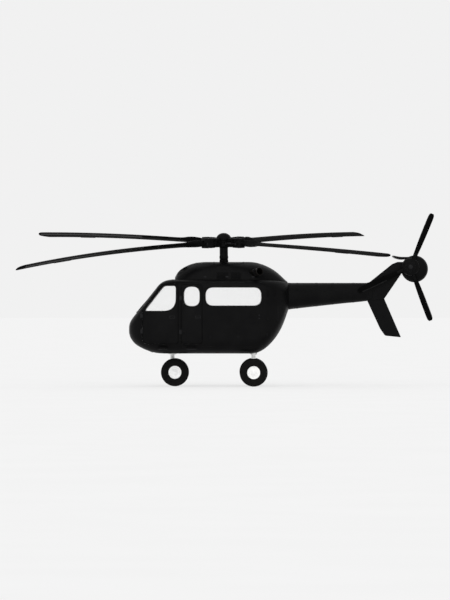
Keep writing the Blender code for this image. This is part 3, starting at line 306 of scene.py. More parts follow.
BODY = finish(
    "body_black_paint", (0.0016, 0.0016, 0.0018), (0.0030, 0.0030, 0.0032), (0.34, 0.44),
    specular=0.06, grain=90.0, depth=0.0004)
TAIL = finish(
    "tail_black_paint", (0.0016, 0.0016, 0.0018), (0.0032, 0.0032, 0.0034), (0.36, 0.48),
    specular=0.06, grain=90.0, depth=0.0004)
ROTOR = finish(
    "rotor_black_paint", (0.0018, 0.0018, 0.0019), (0.0036, 0.0036, 0.0037), (0.42, 0.56),
    specular=0.05, patch=14.0, grain=220.0, depth=0.0004)
BLADES = finish(
    "blade_black_skin", (0.0016, 0.0016, 0.0017), 0.0030, (0.66, 0.80),
    specular=0.02, patch=3.0, grain=260.0, depth=0.0005)
EROSION = finish("worn_blade_edge", 0.006, 0.012, (0.40, 0.55), metallic=0.9, patch=18.0, grain=120.0)
SEAL = finish("black_seal_rubber", 0.0025, 0.005, (0.60, 0.75), specular=0.08, patch=20.0, grain=300.0)
TYRE = finish(
    "tyre_rubber_black", 0.003, (0.007, 0.0068, 0.0065), (0.75, 0.92),
    specular=0.08, patch=11.0, grain=240.0, depth=0.0012)
DARK = finish(
    "dark_gunmetal", (0.008, 0.008, 0.009), (0.016, 0.016, 0.017), (0.38, 0.55),
    metallic=0.85, patch=16.0, grain=150.0)
BURNT = finish(
    "heat_stained_steel", (0.007, 0.0065, 0.006), (0.020, 0.018, 0.0165), (0.40, 0.60),
    metallic=0.9, patch=9.0, grain=110.0)
STEEL = finish(
    "bright_steel", (0.62, 0.62, 0.63), (0.80, 0.80, 0.81), (0.14, 0.26),
    metallic=1.0, patch=10.0, grain=160.0, depth=0.0002, stretch=(1.0, 1.0, 8.0))
PALE = finish(
    "pale_gear_paint", (0.90, 0.90, 0.89), (0.95, 0.95, 0.945), (0.28, 0.40),
    patch=6.0, grain=120.0, depth=0.0003)
LINING = weave("pale_cabin_lining", (0.66, 0.66, 0.65), (0.74, 0.74, 0.73), 60.0, 0.0008)
MAT = finish(
    "cabin_floor_mat", (0.40, 0.40, 0.39), (0.52, 0.52, 0.50), (0.70, 0.90),
    patch=5.0, grain=140.0, depth=0.002)
FABRIC = weave("seat_cloth", (0.42, 0.42, 0.41), (0.56, 0.555, 0.54), 85.0)
LEATHER = finish(
    "seat_leather", (0.30, 0.29, 0.28), (0.40, 0.39, 0.37), (0.45, 0.62),
    patch=7.0, grain=95.0, depth=0.0012)
WEBBING = weave("harness_webbing", 0.05, 0.09, 160.0)
PANEL = finish(
    "crackle_panel_black", 0.015, 0.028, (0.60, 0.80), specular=0.3, patch=12.0, grain=330.0, depth=0.0008)
DIAL = finish("dial_face", (0.012, 0.012, 0.014), (0.022, 0.022, 0.025), (0.12, 0.22), patch=25.0)
MARK = finish("pale_marking", (0.70, 0.70, 0.68), (0.82, 0.82, 0.80), (0.5, 0.6), patch=25.0)
SCREEN = clear("display_glass", (0.10, 0.16, 0.20), 1.0, 0.05)
GLASS = clear("clear_window_glass", (0.95, 0.97, 0.97), 0.04)
RED_LENS = lamp_lens("red_lens", (0.35, 0.01, 0.01))
GREEN_LENS = lamp_lens("green_lens", (0.01, 0.22, 0.05))
WHITE_LENS = lamp_lens("white_lens", (0.80, 0.80, 0.78))
MESH = finish(
    "intake_screen", 0.010, 0.030, (0.40, 0.60), metallic=0.7, patch=70.0, grain=400.0, depth=0.002)

LOOKS = {                                # the record's slot, and the looks that belong to it
    "body_black": (BODY,),
    "tail_black": (TAIL,),
    "rotor_black": (ROTOR,),
    "blade_black": (BLADES, EROSION),
    "tyre_rubber": (SEAL, TYRE),
    "dark_metal": (DARK, BURNT, PANEL, DIAL, MESH),
    "bright_steel": (STEEL,),
    "pale_paint": (PALE, MARK),
    "cabin_floor": (LINING, MAT),
    "seat_fabric": (FABRIC, LEATHER, WEBBING),
    "clear_glass": (SCREEN, GLASS, RED_LENS, GREEN_LENS, WHITE_LENS),
}
SLOT_OF = {look: slot for slot, looks in LOOKS.items() for look in looks}


# Shapes


def object_of(mesh):
    made = bpy.data.objects.new("shape", mesh)
    SCENE.objects.link(made)
    return made


def from_bmesh(bm):
    bmesh.ops.recalc_face_normals(bm, faces=bm.faces)
    if bm.calc_volume(signed=True) < 0:
        bmesh.ops.reverse_faces(bm, faces=bm.faces)
    mesh = bpy.data.meshes.new("shape")
    bm.to_mesh(mesh)
    bm.free()
    return object_of(mesh)


def bake(obj):
    """Applies an object's transform and modifiers to its mesh."""
    bpy.context.view_layer.update()
    graph = bpy.context.evaluated_depsgraph_get()
    mesh = bpy.data.meshes.new_from_object(obj.evaluated_get(graph), depsgraph=graph)
    mesh.transform(obj.matrix_world)
    obj.modifiers.clear()
    obj.data = mesh
    obj.matrix_world = Matrix.Identity(4)
    return obj


def remove(*objs):
    for obj in objs:
        bpy.data.objects.remove(obj)


def boolean(obj, tool, operation):
    step = obj.modifiers.new("boolean", "BOOLEAN")
    step.operation = operation
    step.solver = "MANIFOLD"
    step.object = tool
    bake(obj)
    remove(tool)
    return obj


def cut(obj, *tools):
    for tool in tools:
        boolean(obj, tool, "DIFFERENCE")
    return obj


def join(obj, *tools):
    for tool in tools:
        boolean(obj, tool, "UNION")
    return obj


def common(obj, tool):
    return boolean(obj, tool, "INTERSECT")


def merge(*objs):
    """Puts several meshes into the first object, without joining their solids."""
    bm = bmesh.new()
    for obj in objs:
        obj.data.transform(obj.matrix_world)
        obj.matrix_world = Matrix.Identity(4)
        bm.from_mesh(obj.data)
    bm.to_mesh(objs[0].data)
    bm.free()
    remove(*objs[1:])
    return objs[0]


def copy_of(obj):
    made = obj.copy()
    made.data = obj.data.copy()
    SCENE.objects.link(made)
    return made


def bevel(obj, width, segments=2, angle=35):
    step = obj.modifiers.new("bevel", "BEVEL")
    step.width = width
    step.segments = segments
    step.limit_method = "ANGLE"
    step.angle_limit = radians(angle)
    return bake(obj)


def moved(obj, matrix):
    obj.data.transform(matrix)
    return obj


def piece(obj, name, body, material, *replaced, angle=35):
    """Names a shape, moves it with the whole machine, gives it its material and lets it ride on a body."""
    moved(obj, Matrix.Translation((0, MAST_Y, 0)))
    obj.name = obj.data.name = name
    if material:
        obj.data.materials.clear()
        obj.data.materials.append(material)
    obj.data.shade_smooth()
    obj.data.set_sharp_from_angle(angle=radians(angle))
    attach(obj, body)
    if replaced:
        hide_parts(*replaced)
    return obj


def placed_along(centre, axis):
    """Frame at a point, its Z axis along the given one."""
    turn = Vector(axis).normalized().to_track_quat("Z", "Y").to_matrix().to_4x4()
    return Matrix.Translation(Vector(centre)) @ turn


def box(low, high, rounded=0.0, segments=2):
    bm = bmesh.new()
    bmesh.ops.create_cube(bm, size=1)
    corners = [sorted(pair) for pair in zip(low, high)]
    low, high = Vector([pair[0] for pair in corners]), Vector([pair[1] for pair in corners])
    bmesh.ops.scale(bm, vec=high - low, verts=bm.verts)
    bmesh.ops.translate(bm, vec=(low + high) / 2, verts=bm.verts)
    obj = from_bmesh(bm)
    return bevel(obj, rounded, segments) if rounded else obj


def block(stations, across, heights, rounded=0.0, segments=2):
    """A box between two stations, two places across and two heights."""
    ends = zip(stations, across, heights)
    return box(*[(at(station), y, z) for station, y, z in ends], rounded, segments)


def rod(start, end, radius, end_radius=None, segments=32, rounded=0.0):
    """A round bar, or a cone when its end has a radius of its own."""
    start, end = Vector(start), Vector(end)
    along = end - start
    bm = bmesh.new()
    bmesh.ops.create_cone(bm, cap_ends=True, segments=segments, radius1=radius,
                          radius2=radius if end_radius is None else end_radius, depth=along.length)
    bmesh.ops.transform(bm, matrix=placed_along((start + end) / 2, along), verts=bm.verts)
    obj = from_bmesh(bm)
    return bevel(obj, rounded, 2, 50) if rounded else obj


def stitch(bm, near, far, closed=True):
    """Faces between two rows of vertices, all the way round when they are closed."""
    count = len(near)
    for k in range(count if closed else count - 1):
        follow = (k + 1) % count
        bm.faces.new((near[k], near[follow], far[follow], far[k]))


def turned(profile, centre, axis, steps=48, closed=False):
    """A solid of revolution: profile is (radius, distance along the axis)."""
    bm = bmesh.new()
    turn = placed_along(centre, axis)
    rows = []
    for x, y in circle(steps):
        rows.append([bm.verts.new(turn @ Vector((r * x, r * y, h))) for r, h in profile])
    for k in range(steps):
        stitch(bm, rows[k], rows[(k + 1) % steps], closed)
    bmesh.ops.remove_doubles(bm, verts=bm.verts, dist=1e-6)
    bmesh.ops.dissolve_degenerate(bm, edges=bm.edges, dist=1e-6)
    return from_bmesh(bm)


def loft(rings, capped=True):
    """A solid through rings with the same number of points each."""
    bm = bmesh.new()
    rows = [[bm.verts.new(point) for point in ring] for ring in rings]
    for near, far in zip(rows, rows[1:]):
        stitch(bm, near, far)
    if capped:
        bm.faces.new(rows[0])
        bm.faces.new(rows[-1])
    return from_bmesh(bm)


def smooth_path(points, per_span):
    """Points on a Catmull-Rom curve through the given points."""
    points = [Vector(p) for p in points]
    out = []
    for k in range(len(points) - 1):
        p0, p1, p2 = points[max(k - 1, 0)], points[k], points[k + 1]
        p3 = points[min(k + 2, len(points) - 1)]
        for step in range(per_span):
            t = step / per_span
            out.append(0.5 * (2 * p1 + (p2 - p0) * t + (2 * p0 - 5 * p1 + 4 * p2 - p3) * t * t
                              + (3 * p1 - p0 - 3 * p2 + p3) * t ** 3))
    return [*out, points[-1]]


def bent(points, per_span, start=(0, 0, 0), side=1):
    """A smooth path through (aft, across, up) from a start at (station, y, z), mirrored to a side."""
    station, y, z = start
    places = [spot(station + aft, y + side * across, z + up) for aft, across, up in points]
    return smooth_path(places, per_span)


def tube(points, radius, sides=12, closed=False):
    """A round tube along points."""
    points = [Vector(p) for p in points]
    count = len(points)
    rings = []
    up = Vector((0.13, 0.21, 0.97)).normalized()
    for k, point in enumerate(points):
        before = points[k - 1] if k or closed else point
        after = points[(k + 1) % count] if k < count - 1 or closed else point
        along = (after - before).normalized()
        side = along.cross(up).normalized()
        if side.length < 0.5:
            side = along.orthogonal().normalized()
        lift = side.cross(along)
        rings.append([point + (side * x + lift * y) * radius for x, y in circle(sides)])
    return loft([*rings, rings[0]], capped=False) if closed else loft(rings)


def rounded_outline(corners, grow=0.0):
    """Outline points of a polygon of (u, v, corner radius), grown outwards by a margin."""
    count = len(corners)
    area = sum(corners[k - 1][0] * corners[k][1] - corners[k][0] * corners[k - 1][1] for k in range(count))
    turn = 1 if area > 0 else -1
    lines = []
    for k in range(count):
        a, b = Vector(corners[k][:2]), Vector(corners[(k + 1) % count][:2])
        along = (b - a).normalized()
        out = Vector((along.y, -along.x)) * turn
        lines.append((a + out * grow, along))
    points = []
    for k in range(count):
        (p, d), (q, e) = lines[k - 1], lines[k]
        cross = d.x * e.y - d.y * e.x
        corner = p + d * (((q - p).x * e.y - (q - p).y * e.x) / cross)
        half = abs(atan2(cross, d.dot(e))) / 2
        reach = max(SMALLEST_CORNER, corners[k][2] + grow * 0.5) * (sin(half) / cos(half))
        start, end = corner - d * reach, corner + e * reach
        for step in range(CORNER_STEPS + 1):
            share = step / CORNER_STEPS
            points.append(start.lerp(corner, share).lerp(corner.lerp(end, share), share))
    return points


def prism(outline, place, low, high):
    """A flat outline made solid: place(u, v, depth) gives the point in space."""
    return loft([[place(u, v, depth) for u, v in outline] for depth in (low, high)])


def side_prism(corners, side, grow=0.0, inner_y=SIDE_CUT_INNER_Y):
    """An outline on the side of the hull made solid from inside the wall to outside it."""
    outline = rounded_outline(corners, grow)
    return prism(outline, lambda u, v, y: spot(u, side * y, v), inner_y, SIDE_CUT_OUTER_Y)


def between_rows(table, station):
    """The table's row at a station, on straight lines between the rows."""
    for near, far in zip(table, table[1:]):
        if near[0] <= station <= far[0]:
            share = (station - near[0]) / (far[0] - near[0])
            return tuple(a + (b - a) * share for a, b in zip(near, far))
    return table[0] if station < table[0][0] else table[-1]


def hermite(t, near, far, near_slope, far_slope):
    """Value at share t on a cubic curve between two values with given slopes."""
    return ((2 * t ** 3 - 3 * t ** 2 + 1) * near + (t ** 3 - 2 * t ** 2 + t) * near_slope
            + (3 * t ** 2 - 2 * t ** 3) * far + (t ** 3 - t ** 2) * far_slope)


def smooth_table(table, longest=0.12):
    """The table with rows added on monotone curves, so that a loft through it has no flat facets."""
    def slopes(column):
        spans = [(b[0] - a[0], (b[column] - a[column]) / (b[0] - a[0])) for a, b in zip(table, table[1:])]
        inner = []
        for (h0, d0), (h1, d1) in zip(spans, spans[1:]):
            inner.append(0.0 if d0 * d1 <= 0 else 3 * (h0 + h1) / ((2 * h1 + h0) / d0 + (h1 + 2 * h0) / d1))
        return [spans[0][1], *inner, spans[-1][1]]
    tangents = {column: slopes(column) for column in range(1, len(table[0]))}
    rows = []
    for k, (near, far) in enumerate(zip(table, table[1:])):
        length = far[0] - near[0]
        straight = near[1:] == far[1:]
        parts = 1 if straight else max(2, int(length / longest) + 1)
        for step in range(parts):
            t = step / parts
            row = [near[0] + length * t]
            for column, slope in tangents.items():
                row.append(hermite(t, near[column], far[column], slope[k] * length, slope[k + 1] * length))
            rows.append(tuple(row))
    return (*rows, table[-1])


FINE_HULL = smooth_table(HULL)
FINE_COWL = smooth_table(COWL)
NEAR = 1e-4                              # rows closer than this to an end are left out


def hull_ring(row, inset):
    """Section of the hull: flat sides, round lower and upper edges and a slightly crowned roof."""
    station, z_bottom, z_top, half_width, r_bottom, r_top = row
    half, low, high = half_width - inset, z_bottom + inset, z_top - inset
    room = (high - low) / 2
    r_low = max(0.02, min(r_bottom - inset, room, half))
    r_high = max(0.02, min(r_top - inset, room - CROWN / 2, half))
    side = [(0.0, low)]
    for step in range(ARC_STEPS + 1):
        angle = pi / 2 * step / ARC_STEPS
        side.append((half - r_low + r_low * sin(angle), low + r_low - r_low * cos(angle)))
    for step in range(ARC_STEPS + 1):
        angle = pi / 2 * step / ARC_STEPS
        side.append((half - r_high + r_high * cos(angle), high - CROWN - r_high + r_high * sin(angle)))
    side.append(((half - r_high) / 2, high - CROWN / 4))
    side.append((0.0, high))
    ring = [(at(station), y, z) for y, z in side]
    return ring + [(at(station), -y, z) for y, z in reversed(side[1:-1])]


def rows_between(table, first, last):
    """Rows at both ends of a length and the table's own rows within it."""
    inner = [row for row in table if first + NEAR < row[0] < last - NEAR]
    return [between_rows(table, first), *inner, between_rows(table, last)]


def hull_solid(inset=0.0):
    """The hull's form shrunk by the inset on every side."""
    rows = rows_between(FINE_HULL, HULL[0][0] + inset, HULL[-1][0] - inset)
    return loft([hull_ring(row, inset) for row in rows])


def half_width_at(station):
    return between_rows(HULL, station)[3]


def hull_y(station, z, out=0.0):
    """Half-width of the skin, moved outwards by out, at a station and height."""
    _, z_bottom, z_top, half, r_bottom, r_top = between_rows(FINE_HULL, station)
    half, z_bottom, z_top = half + out, z_bottom - out, z_top + out
    r_bottom, r_top = max(0.02, r_bottom + out), max(0.02, r_top + out)
    if z < z_bottom + r_bottom:
        drop = min(r_bottom, z_bottom + r_bottom - z)
        return half - r_bottom + sqrt(r_bottom ** 2 - drop ** 2)
    if z > z_top - CROWN - r_top:
        rise = min(r_top, z - (z_top - CROWN - r_top))
        return half - r_top + sqrt(r_top ** 2 - rise ** 2)
    return half


def hull_top(station, y):
    """Height of the roof or nose skin at a station and a distance from the middle."""
    _, _, z_top, half, _, r_top = between_rows(FINE_HULL, station)
    flat, y = half - r_top, abs(y)
    if y > flat:
        return z_top - CROWN - r_top + sqrt(max(0.0, r_top ** 2 - (y - flat) ** 2))
    near = CROWN / 4 * min(1.0, 2 * y / flat)
    return z_top - near - CROWN * 0.75 * max(0.0, 2 * y / flat - 1)


ALL_ACROSS, ALL_HEIGHTS = (-1.4, 1.4), (0.8, 4.0)        # these reach past the hull


def region(stations, heights=ALL_HEIGHTS, across=ALL_ACROSS):
    """Cutter for all that lies between two stations."""
    return block(stations, across, heights)


WINDSCREEN_RISE = Vector(WINDSCREEN_HIGH) - Vector(WINDSCREEN_LOW)
WINDSCREEN_SLOPE, WINDSCREEN_LENGTH = WINDSCREEN_RISE.normalized(), WINDSCREEN_RISE.length
WINDSCREEN = (
    (WINDSCREEN_POST, 0, WINDSCREEN_CORNER), (WINDSCREEN_LOW_Y, 0, WINDSCREEN_CORNER),
    (WINDSCREEN_HIGH_Y, WINDSCREEN_LENGTH, WINDSCREEN_CORNER),
    (WINDSCREEN_POST, WINDSCREEN_LENGTH, WINDSCREEN_CORNER),
)
WINDSCREEN_DEPTHS = (-0.22, 0.12)        # of its cutter, from inside the wall to outside it


def windscreen_place(side):
    """Maps (across, up the slope, out of it) to a point on one side of the nose."""
    normal = Vector((-WINDSCREEN_SLOPE.y, WINDSCREEN_SLOPE.x))

    def place(y, up, depth):
        point = Vector(WINDSCREEN_LOW) + WINDSCREEN_SLOPE * up + normal * depth
        return spot(point.x, side * y, point.y)

    return place


def windscreen_prism(side, grow):
    return prism(rounded_outline(WINDSCREEN, grow), windscreen_place(side), *WINDSCREEN_DEPTHS)


def hinge_line(door):
    """Station and half-width of a door's hinge axis."""
    station = min(corner[0] for corner in door)
    return station, half_width_at(station) + HINGE_STAND_OFF


def hinge_pins(door, heights, side, grow=0.0):
    station, half_width = hinge_line(door)
    pins = []
    for z in heights:
        low, high = span(z, HINGE_HEIGHT / 2 + grow)
        ends = spot(station, side * half_width, low), spot(station, side * half_width, high)
        pins.append(rod(*ends, HINGE_RADIUS + grow, segments=20))
    return pins


def door_hole(door):
    """The opening's corners: the door's outline, wider fore and aft and at a slanted edge."""
    front = min(corner[0] for corner in door)
    rear = max(corner[0] for corner in door)
    wider = []
    for station, z, radius in door:
        extra = CLOSING_EDGE_GAP - DOOR_GAP
        if door is COCKPIT_DOOR and z > TOP_CORNER_Z and station < rear:
            extra, radius = -TOP_CORNER_GAP, radius / 2
        elif station < (front + rear) / 2:
            extra = -extra
        wider.append((station + extra, z, radius))
    return wider


def skin_band(corners, side, inner, outer, out_low, out_high):
    """A band that lies on the hull's side along an outline, from one growth of it to another."""
    rings = []
    for p, q in zip(rounded_outline(corners, inner), rounded_outline(corners, outer)):
        section = ((p, out_low), (q, out_low), (q, out_high), (p, out_high))
        rings.append([spot(point.x, side * hull_y(point.x, point.y, out), point.y) for point, out in section])
    return loft([*rings, rings[0]], capped=False)


def studs(spots, radius, height, sides=8):
    """Low heads of screws or rivets, or nuts with six sides: spots are (point, normal)."""
    bm = bmesh.new()
    profile = ((radius, -height), (radius, height * 0.5), (radius * 0.72, height))
    for point, normal in spots:
        turn = placed_along(point, normal)
        rows = []
        for reach, rise in profile:
            rows.append([bm.verts.new(turn @ Vector((reach * x, reach * y, rise))) for x, y in circle(sides)])
        for near, far in zip(rows, rows[1:]):
            stitch(bm, near, far)
        bm.faces.new(rows[0])
        bm.faces.new(rows[-1])
    return from_bmesh(bm)


SCREW, SMALL_SCREW = (0.0055, 0.0022), (0.005, 0.002)    # radius and height of a head
WINDOW_SCREWS_APART, SEAM_SCREWS_APART, RING_SCREWS_APART = 0.055, 0.06, 0.065


def round_spots(centre, axis, radius, count, turn=0.0):
    """Places round a circle, each with the circle's axis as its normal."""
    axis = Vector(axis)
    basis = axis.to_track_quat("Z", "Y").to_matrix()
    return [(Vector(centre) + basis @ Vector((x, y, 0)) * radius, axis) for x, y in circle(count, turn)]


def evenly(points, spacing):
    """Points at even distances along a path."""
    out, left = [], 0.0
    for a, b in zip(points, points[1:]):
        a, b = Vector(a), Vector(b)
        length = (b - a).length
        while left < length:
            out.append(a.lerp(b, left / length))
            left += spacing
        left -= length
    return out


def outline_spots(corners, side, grow, spacing):
    """Fastener places on the hull's side along an outline."""
    points = rounded_outline(corners, grow)
    return [(spot(point.x, side * hull_y(point.x, point.y), point.y), (0, side, 0))
            for point in evenly([*points, points[0]], spacing)]


def rectangle(low, high, radius):
    """Corners of an upright rectangle with round corners."""
    corners = (low, (low[0], high[1]), high, (high[0], low[1]))
    return tuple((u, v, radius) for u, v in corners)


def louvres(stations, heights, half_width, section, side):
    """Slats on a skin whose half-width is given by a function of station and height."""
    slats = []
    for z in heights:
        slats.append(loft([[spot(station, side * (half_width(station, z) + out), z + up)
                            for out, up in section] for station in stations]))
    return merge(*slats)


LINED_STATIONS, LINED_Z = (-1.9, 1.1), 2.25              # a line through the cabin, which the lining faces


def line_paint(obj):
    """Body paint, and the cabin's lining on the faces that look inwards."""
    front, rear = [at(station) for station in LINED_STATIONS]
    obj.data.materials.clear()
    obj.data.materials.append(BODY)
    obj.data.materials.append(LINING)
    for face in obj.data.polygons:
        core = Vector((min(max(face.center.x, front), rear), 0.0, LINED_Z))
        away = (face.center - core).normalized()
        if face.normal.dot(away) < -0.35:
            face.material_index = 1
    return obj


# Hull, doors and windows

DOORS = (                                # label, outline, window, heights of the hinges, place of the handle
    ("cockpit", COCKPIT_DOOR, COCKPIT_WINDOW, COCKPIT_HINGE_Z, (-1.60, 2.16)),
    ("cabin", CABIN_DOOR, DOOR_WINDOW, CABIN_HINGE_Z, (-0.80, 2.16)),
)
HANDLE_LEVER = ((-0.07, 0.004, 0), (-0.05, 0.024, 0), (0.03, 0.026, -0.004), (0.075, 0.020, -0.008))
SHORT_STRAP, LONG_STRAP = (0.042, (0.026,)), (0.12, (0.045, 0.095))       # length and places of the screws
SEAL_OUT = (-0.003, 0.005)               # from inside the skin to outside it
COVERS = (
    ("fuel_bay_panel", rectangle((-0.46, 1.46), (0.30, 1.98), 0.05)),
    ("stores_bay_panel", rectangle((0.40, 1.46), (1.12, 1.98), 0.05)),
    ("avionics_bay_panel", rectangle((1.32, 2.02), (1.70, 2.72), 0.05)),
    ("battery_panel", rectangle((1.30, 1.52), (1.50, 1.90), 0.04)),
)
SEAM_SCREWS = (                          # height, how far the screws look up, lengths from station to station
    (BELLY_SEAM_Z + 0.035, -0.8, ((-0.62, 1.20),)),
    (ROOF_SEAM_Z - 0.035, 0.8, ((-0.62, 1.20), (1.30, 1.86))),
)
HULL_LOUVRES = (1.34, 1.62)
HULL_LOUVRE_Z = [2.80 + 0.044 * k for k in range(6)]
HULL_SLAT = ((-0.004, 0.0), (0.016, -0.012), (0.016, -0.016), (-0.004, -0.010))
RINGS = ((-1.392, -1.342), (1.222, 1.272))
RING_SCREWS_IN = 0.012
OVERLAY, OVERLAY_DEPTH = 0.003, 0.002    # how far thin plates stand proud of the skin and reach into it
GLASS_LAP = 0.012


def edge_seal(door, side):
    """Seal inside the frame, all round a door."""
    return skin_band(door_hole(door), side, -0.035, DOOR_GAP + 0.03, -WALL - 0.016, -WALL + 0.001)


def hinge_pads(door, heights, side):
    """Blocks on the frame that the hinge pins turn against, each with three screws."""
    station, half_width = hinge_line(door)
    rear = station - HINGE_RADIUS - 2 * SEAM
    inner, face = side * (half_width - 0.03), side * (half_width + 0.01)
    shapes = []
    for z in heights:
        shapes.append(block((rear - 0.05, rear), (inner, face), span(z, HINGE_HEIGHT / 2), 0.005))
        screws = [(spot(rear - 0.028, face, z + up), (0, side, 0)) for up in (-0.045, 0.0, 0.045)]
        shapes.append(studs(screws, 0.008, 0.004))
    return merge(*shapes)


def hinge_straps(door, window, heights, side):
    """Straps from each hinge onto the door, short ones beside the window."""
    station, half_width = hinge_line(door)
    inner, face = [side * y for y in span(half_width, 0.006)]
    shapes = []
    for z in heights:
        length, columns = LONG_STRAP if z < window[0][1] else SHORT_STRAP
        shapes.append(block((station + 0.006, station + length), (inner, face), span(z, 0.05), 0.004))
        screws = [(spot(station + along, face, z + rise), (0, side, 0))
                  for along in columns for rise in span(0, 0.028)]
        shapes.append(studs(screws, 0.009, 0.004))
    return merge(*shapes)


def build_handle(name, station, z, side):
    y = side * hull_y(station, z)
    plate = rectangle((station - 0.09, z - 0.045), (station + 0.09, z + 0.045), 0.03)
    piece(skin_band(plate, side, -0.012, 0.0, -0.004, 0.004), f"{name}_handle_rim", name, DARK)
    lever = tube(bent(HANDLE_LEVER, 5, (station, y, z), side), 0.009)
    foot, top = [spot(station - 0.06, y + side * out, z) for out in (-0.004, 0.02)]
    piece(merge(lever, rod(foot, top, 0.020, 0.016)), f"{name}_handle", name, DARK)


def build_door(row, side, word, shell, pane, body):
    """One door with its glass, hinge and fittings, and its opening in the body."""
    label, door, window, hinge_z, handle = row
    name = f"{label}_door_{word}"
    leaf = common(copy_of(shell), side_prism(door, side))
    cut(leaf, side_prism(window, side, grow=SEAM))
    bevel(leaf, 0.004, 2, 50)
    piece(line_paint(leaf), f"{name}_leaf", name, None, name, angle=40)
    glass = common(copy_of(pane), side_prism(window, side, grow=GLASS_LAP))
    piece(glass, f"{name}_pane", name, GLASS, f"{label}_door_glass_{word}")
    piece(merge(*hinge_pins(door, hinge_z, side)), f"{name}_hinge_pins", name, DARK)
    build_handle(name, *handle, side)
    piece(skin_band(window, side, 0.002, 0.026, *SEAL_OUT), f"{name}_window_seal", name, SEAL)
    screws = outline_spots(window, side, 0.045, WINDOW_SCREWS_APART)
    piece(studs(screws, *SCREW), f"{name}_window_screws", name, BODY)
    piece(hinge_straps(door, window, hinge_z, side), f"{name}_hinge_straps", name, BODY)
    piece(edge_seal(door, side), f"{label}_door_seal_{word}", "airframe", SEAL)
    piece(hinge_pads(door, hinge_z, side), f"{label}_hinge_pads_{word}", "airframe", DARK)
    cut(body, side_prism(door_hole(door), side, grow=DOOR_GAP))
    cut(body, *hinge_pins(door, hinge_z, side, grow=2 * SEAM))


def build_side(side, word, pane, overlay, body):
    """Cabin window, covers, rows of screws and louvres of one side."""
    cut(body, side_prism(CABIN_WINDOW, side, grow=SEAM))
    glass = common(copy_of(pane), side_prism(CABIN_WINDOW, side, grow=GLASS_LAP))
    piece(glass, f"cabin_pane_{word}", "airframe", GLASS, f"cabin_glass_{word}")
    seal = skin_band(CABIN_WINDOW, side, 0.002, 0.028, *SEAL_OUT)
    piece(seal, f"cabin_window_seal_{word}", "airframe", SEAL)
    screws = outline_spots(CABIN_WINDOW, side, 0.048, WINDOW_SCREWS_APART)
    for label, outline in COVERS:
        plate = common(copy_of(overlay), side_prism(outline, side, inner_y=0.4))
        piece(bevel(plate, 0.0012, 1, 50), f"{label}_{word}", "airframe", BODY)
        raised = Vector((0, side * OVERLAY, 0))
        screws += [(point + raised, normal)
                   for point, normal in outline_spots(outline, side, -0.022, SEAM_SCREWS_APART)]
        front, low, _ = outline[0]
        hasp = rectangle((front + 0.03, low + 0.06), (front + 0.06, low + 0.13), 0.012)
        piece(skin_band(hasp, side, -0.004, 0.0, 0.0, 0.006), f"{label}_latch_{word}", "airframe", DARK)
    for z, lean, lengths in SEAM_SCREWS:
        for start, end in lengths:
            screws += [(spot(place.x, side * hull_y(place.x, z), z), (0, side, lean))
                       for place in evenly([(start, 0), (end, 0)], SEAM_SCREWS_APART)]
    piece(studs(screws, *SCREW), f"hull_side_screws_{word}", "airframe", BODY)
    slats = louvres(HULL_LOUVRES, HULL_LOUVRE_Z, hull_y, HULL_SLAT, side)
    piece(slats, f"rear_bay_louvres_{word}", "airframe", BODY)


def build_windscreen(side, word, pane, body):
    """One windscreen with its frame, screws and wiper."""
    cut(body, windscreen_prism(side, SEAM))
    glass = common(copy_of(pane), windscreen_prism(side, GLASS_LAP))
    piece(glass, f"windscreen_pane_{word}", "airframe", GLASS, f"windscreen_{word}")
    place = windscreen_place(side)
    normal = Vector((-WINDSCREEN_SLOPE.y, 0, WINDSCREEN_SLOPE.x))

    def on_slope(y, up, out=0.0):
        point = place(y, up, 0)
        return Vector((point.x, point.y, hull_top(point.x - MAST_X, y))) + normal * out

    rings = []
    low, high = -0.003, 0.004
    for p, q in zip(rounded_outline(WINDSCREEN, 0.002), rounded_outline(WINDSCREEN, 0.024)):
        rings.append([on_slope(*point, out) for point, out in ((p, low), (q, low), (q, high), (p, high))])
    piece(loft([*rings, rings[0]], capped=False), f"windscreen_seal_{word}", "airframe", SEAL)
    outline = rounded_outline(WINDSCREEN, 0.036)
    screws = [(on_slope(*point), normal) for point in evenly([*outline, outline[0]], SEAM_SCREWS_APART)]
    piece(studs(screws, *SCREW), f"windscreen_screws_{word}", "airframe", BODY)
    pivot, tip = on_slope(0.30, -0.075, 0.010), on_slope(0.40, 0.40, 0.006)
    arm = tube([pivot, pivot.lerp(tip, 0.5) + normal * 0.006, tip], 0.0055, 10)
    low, high = on_slope(0.33, 0.16, -0.008), on_slope(0.46, 0.62, -0.008)
    blade = tube(smooth_path([low, low.lerp(high, 0.5) + normal * 0.004, high], 8), 0.005, 8)
    base = ((0.0, -0.012), (0.024, -0.012), (0.022, 0.006), (0.012, 0.014), (0.0, 0.014))
    piece(merge(arm, blade, turned(base, pivot, normal, 24)), f"wiper_{word}", "airframe", SEAL)


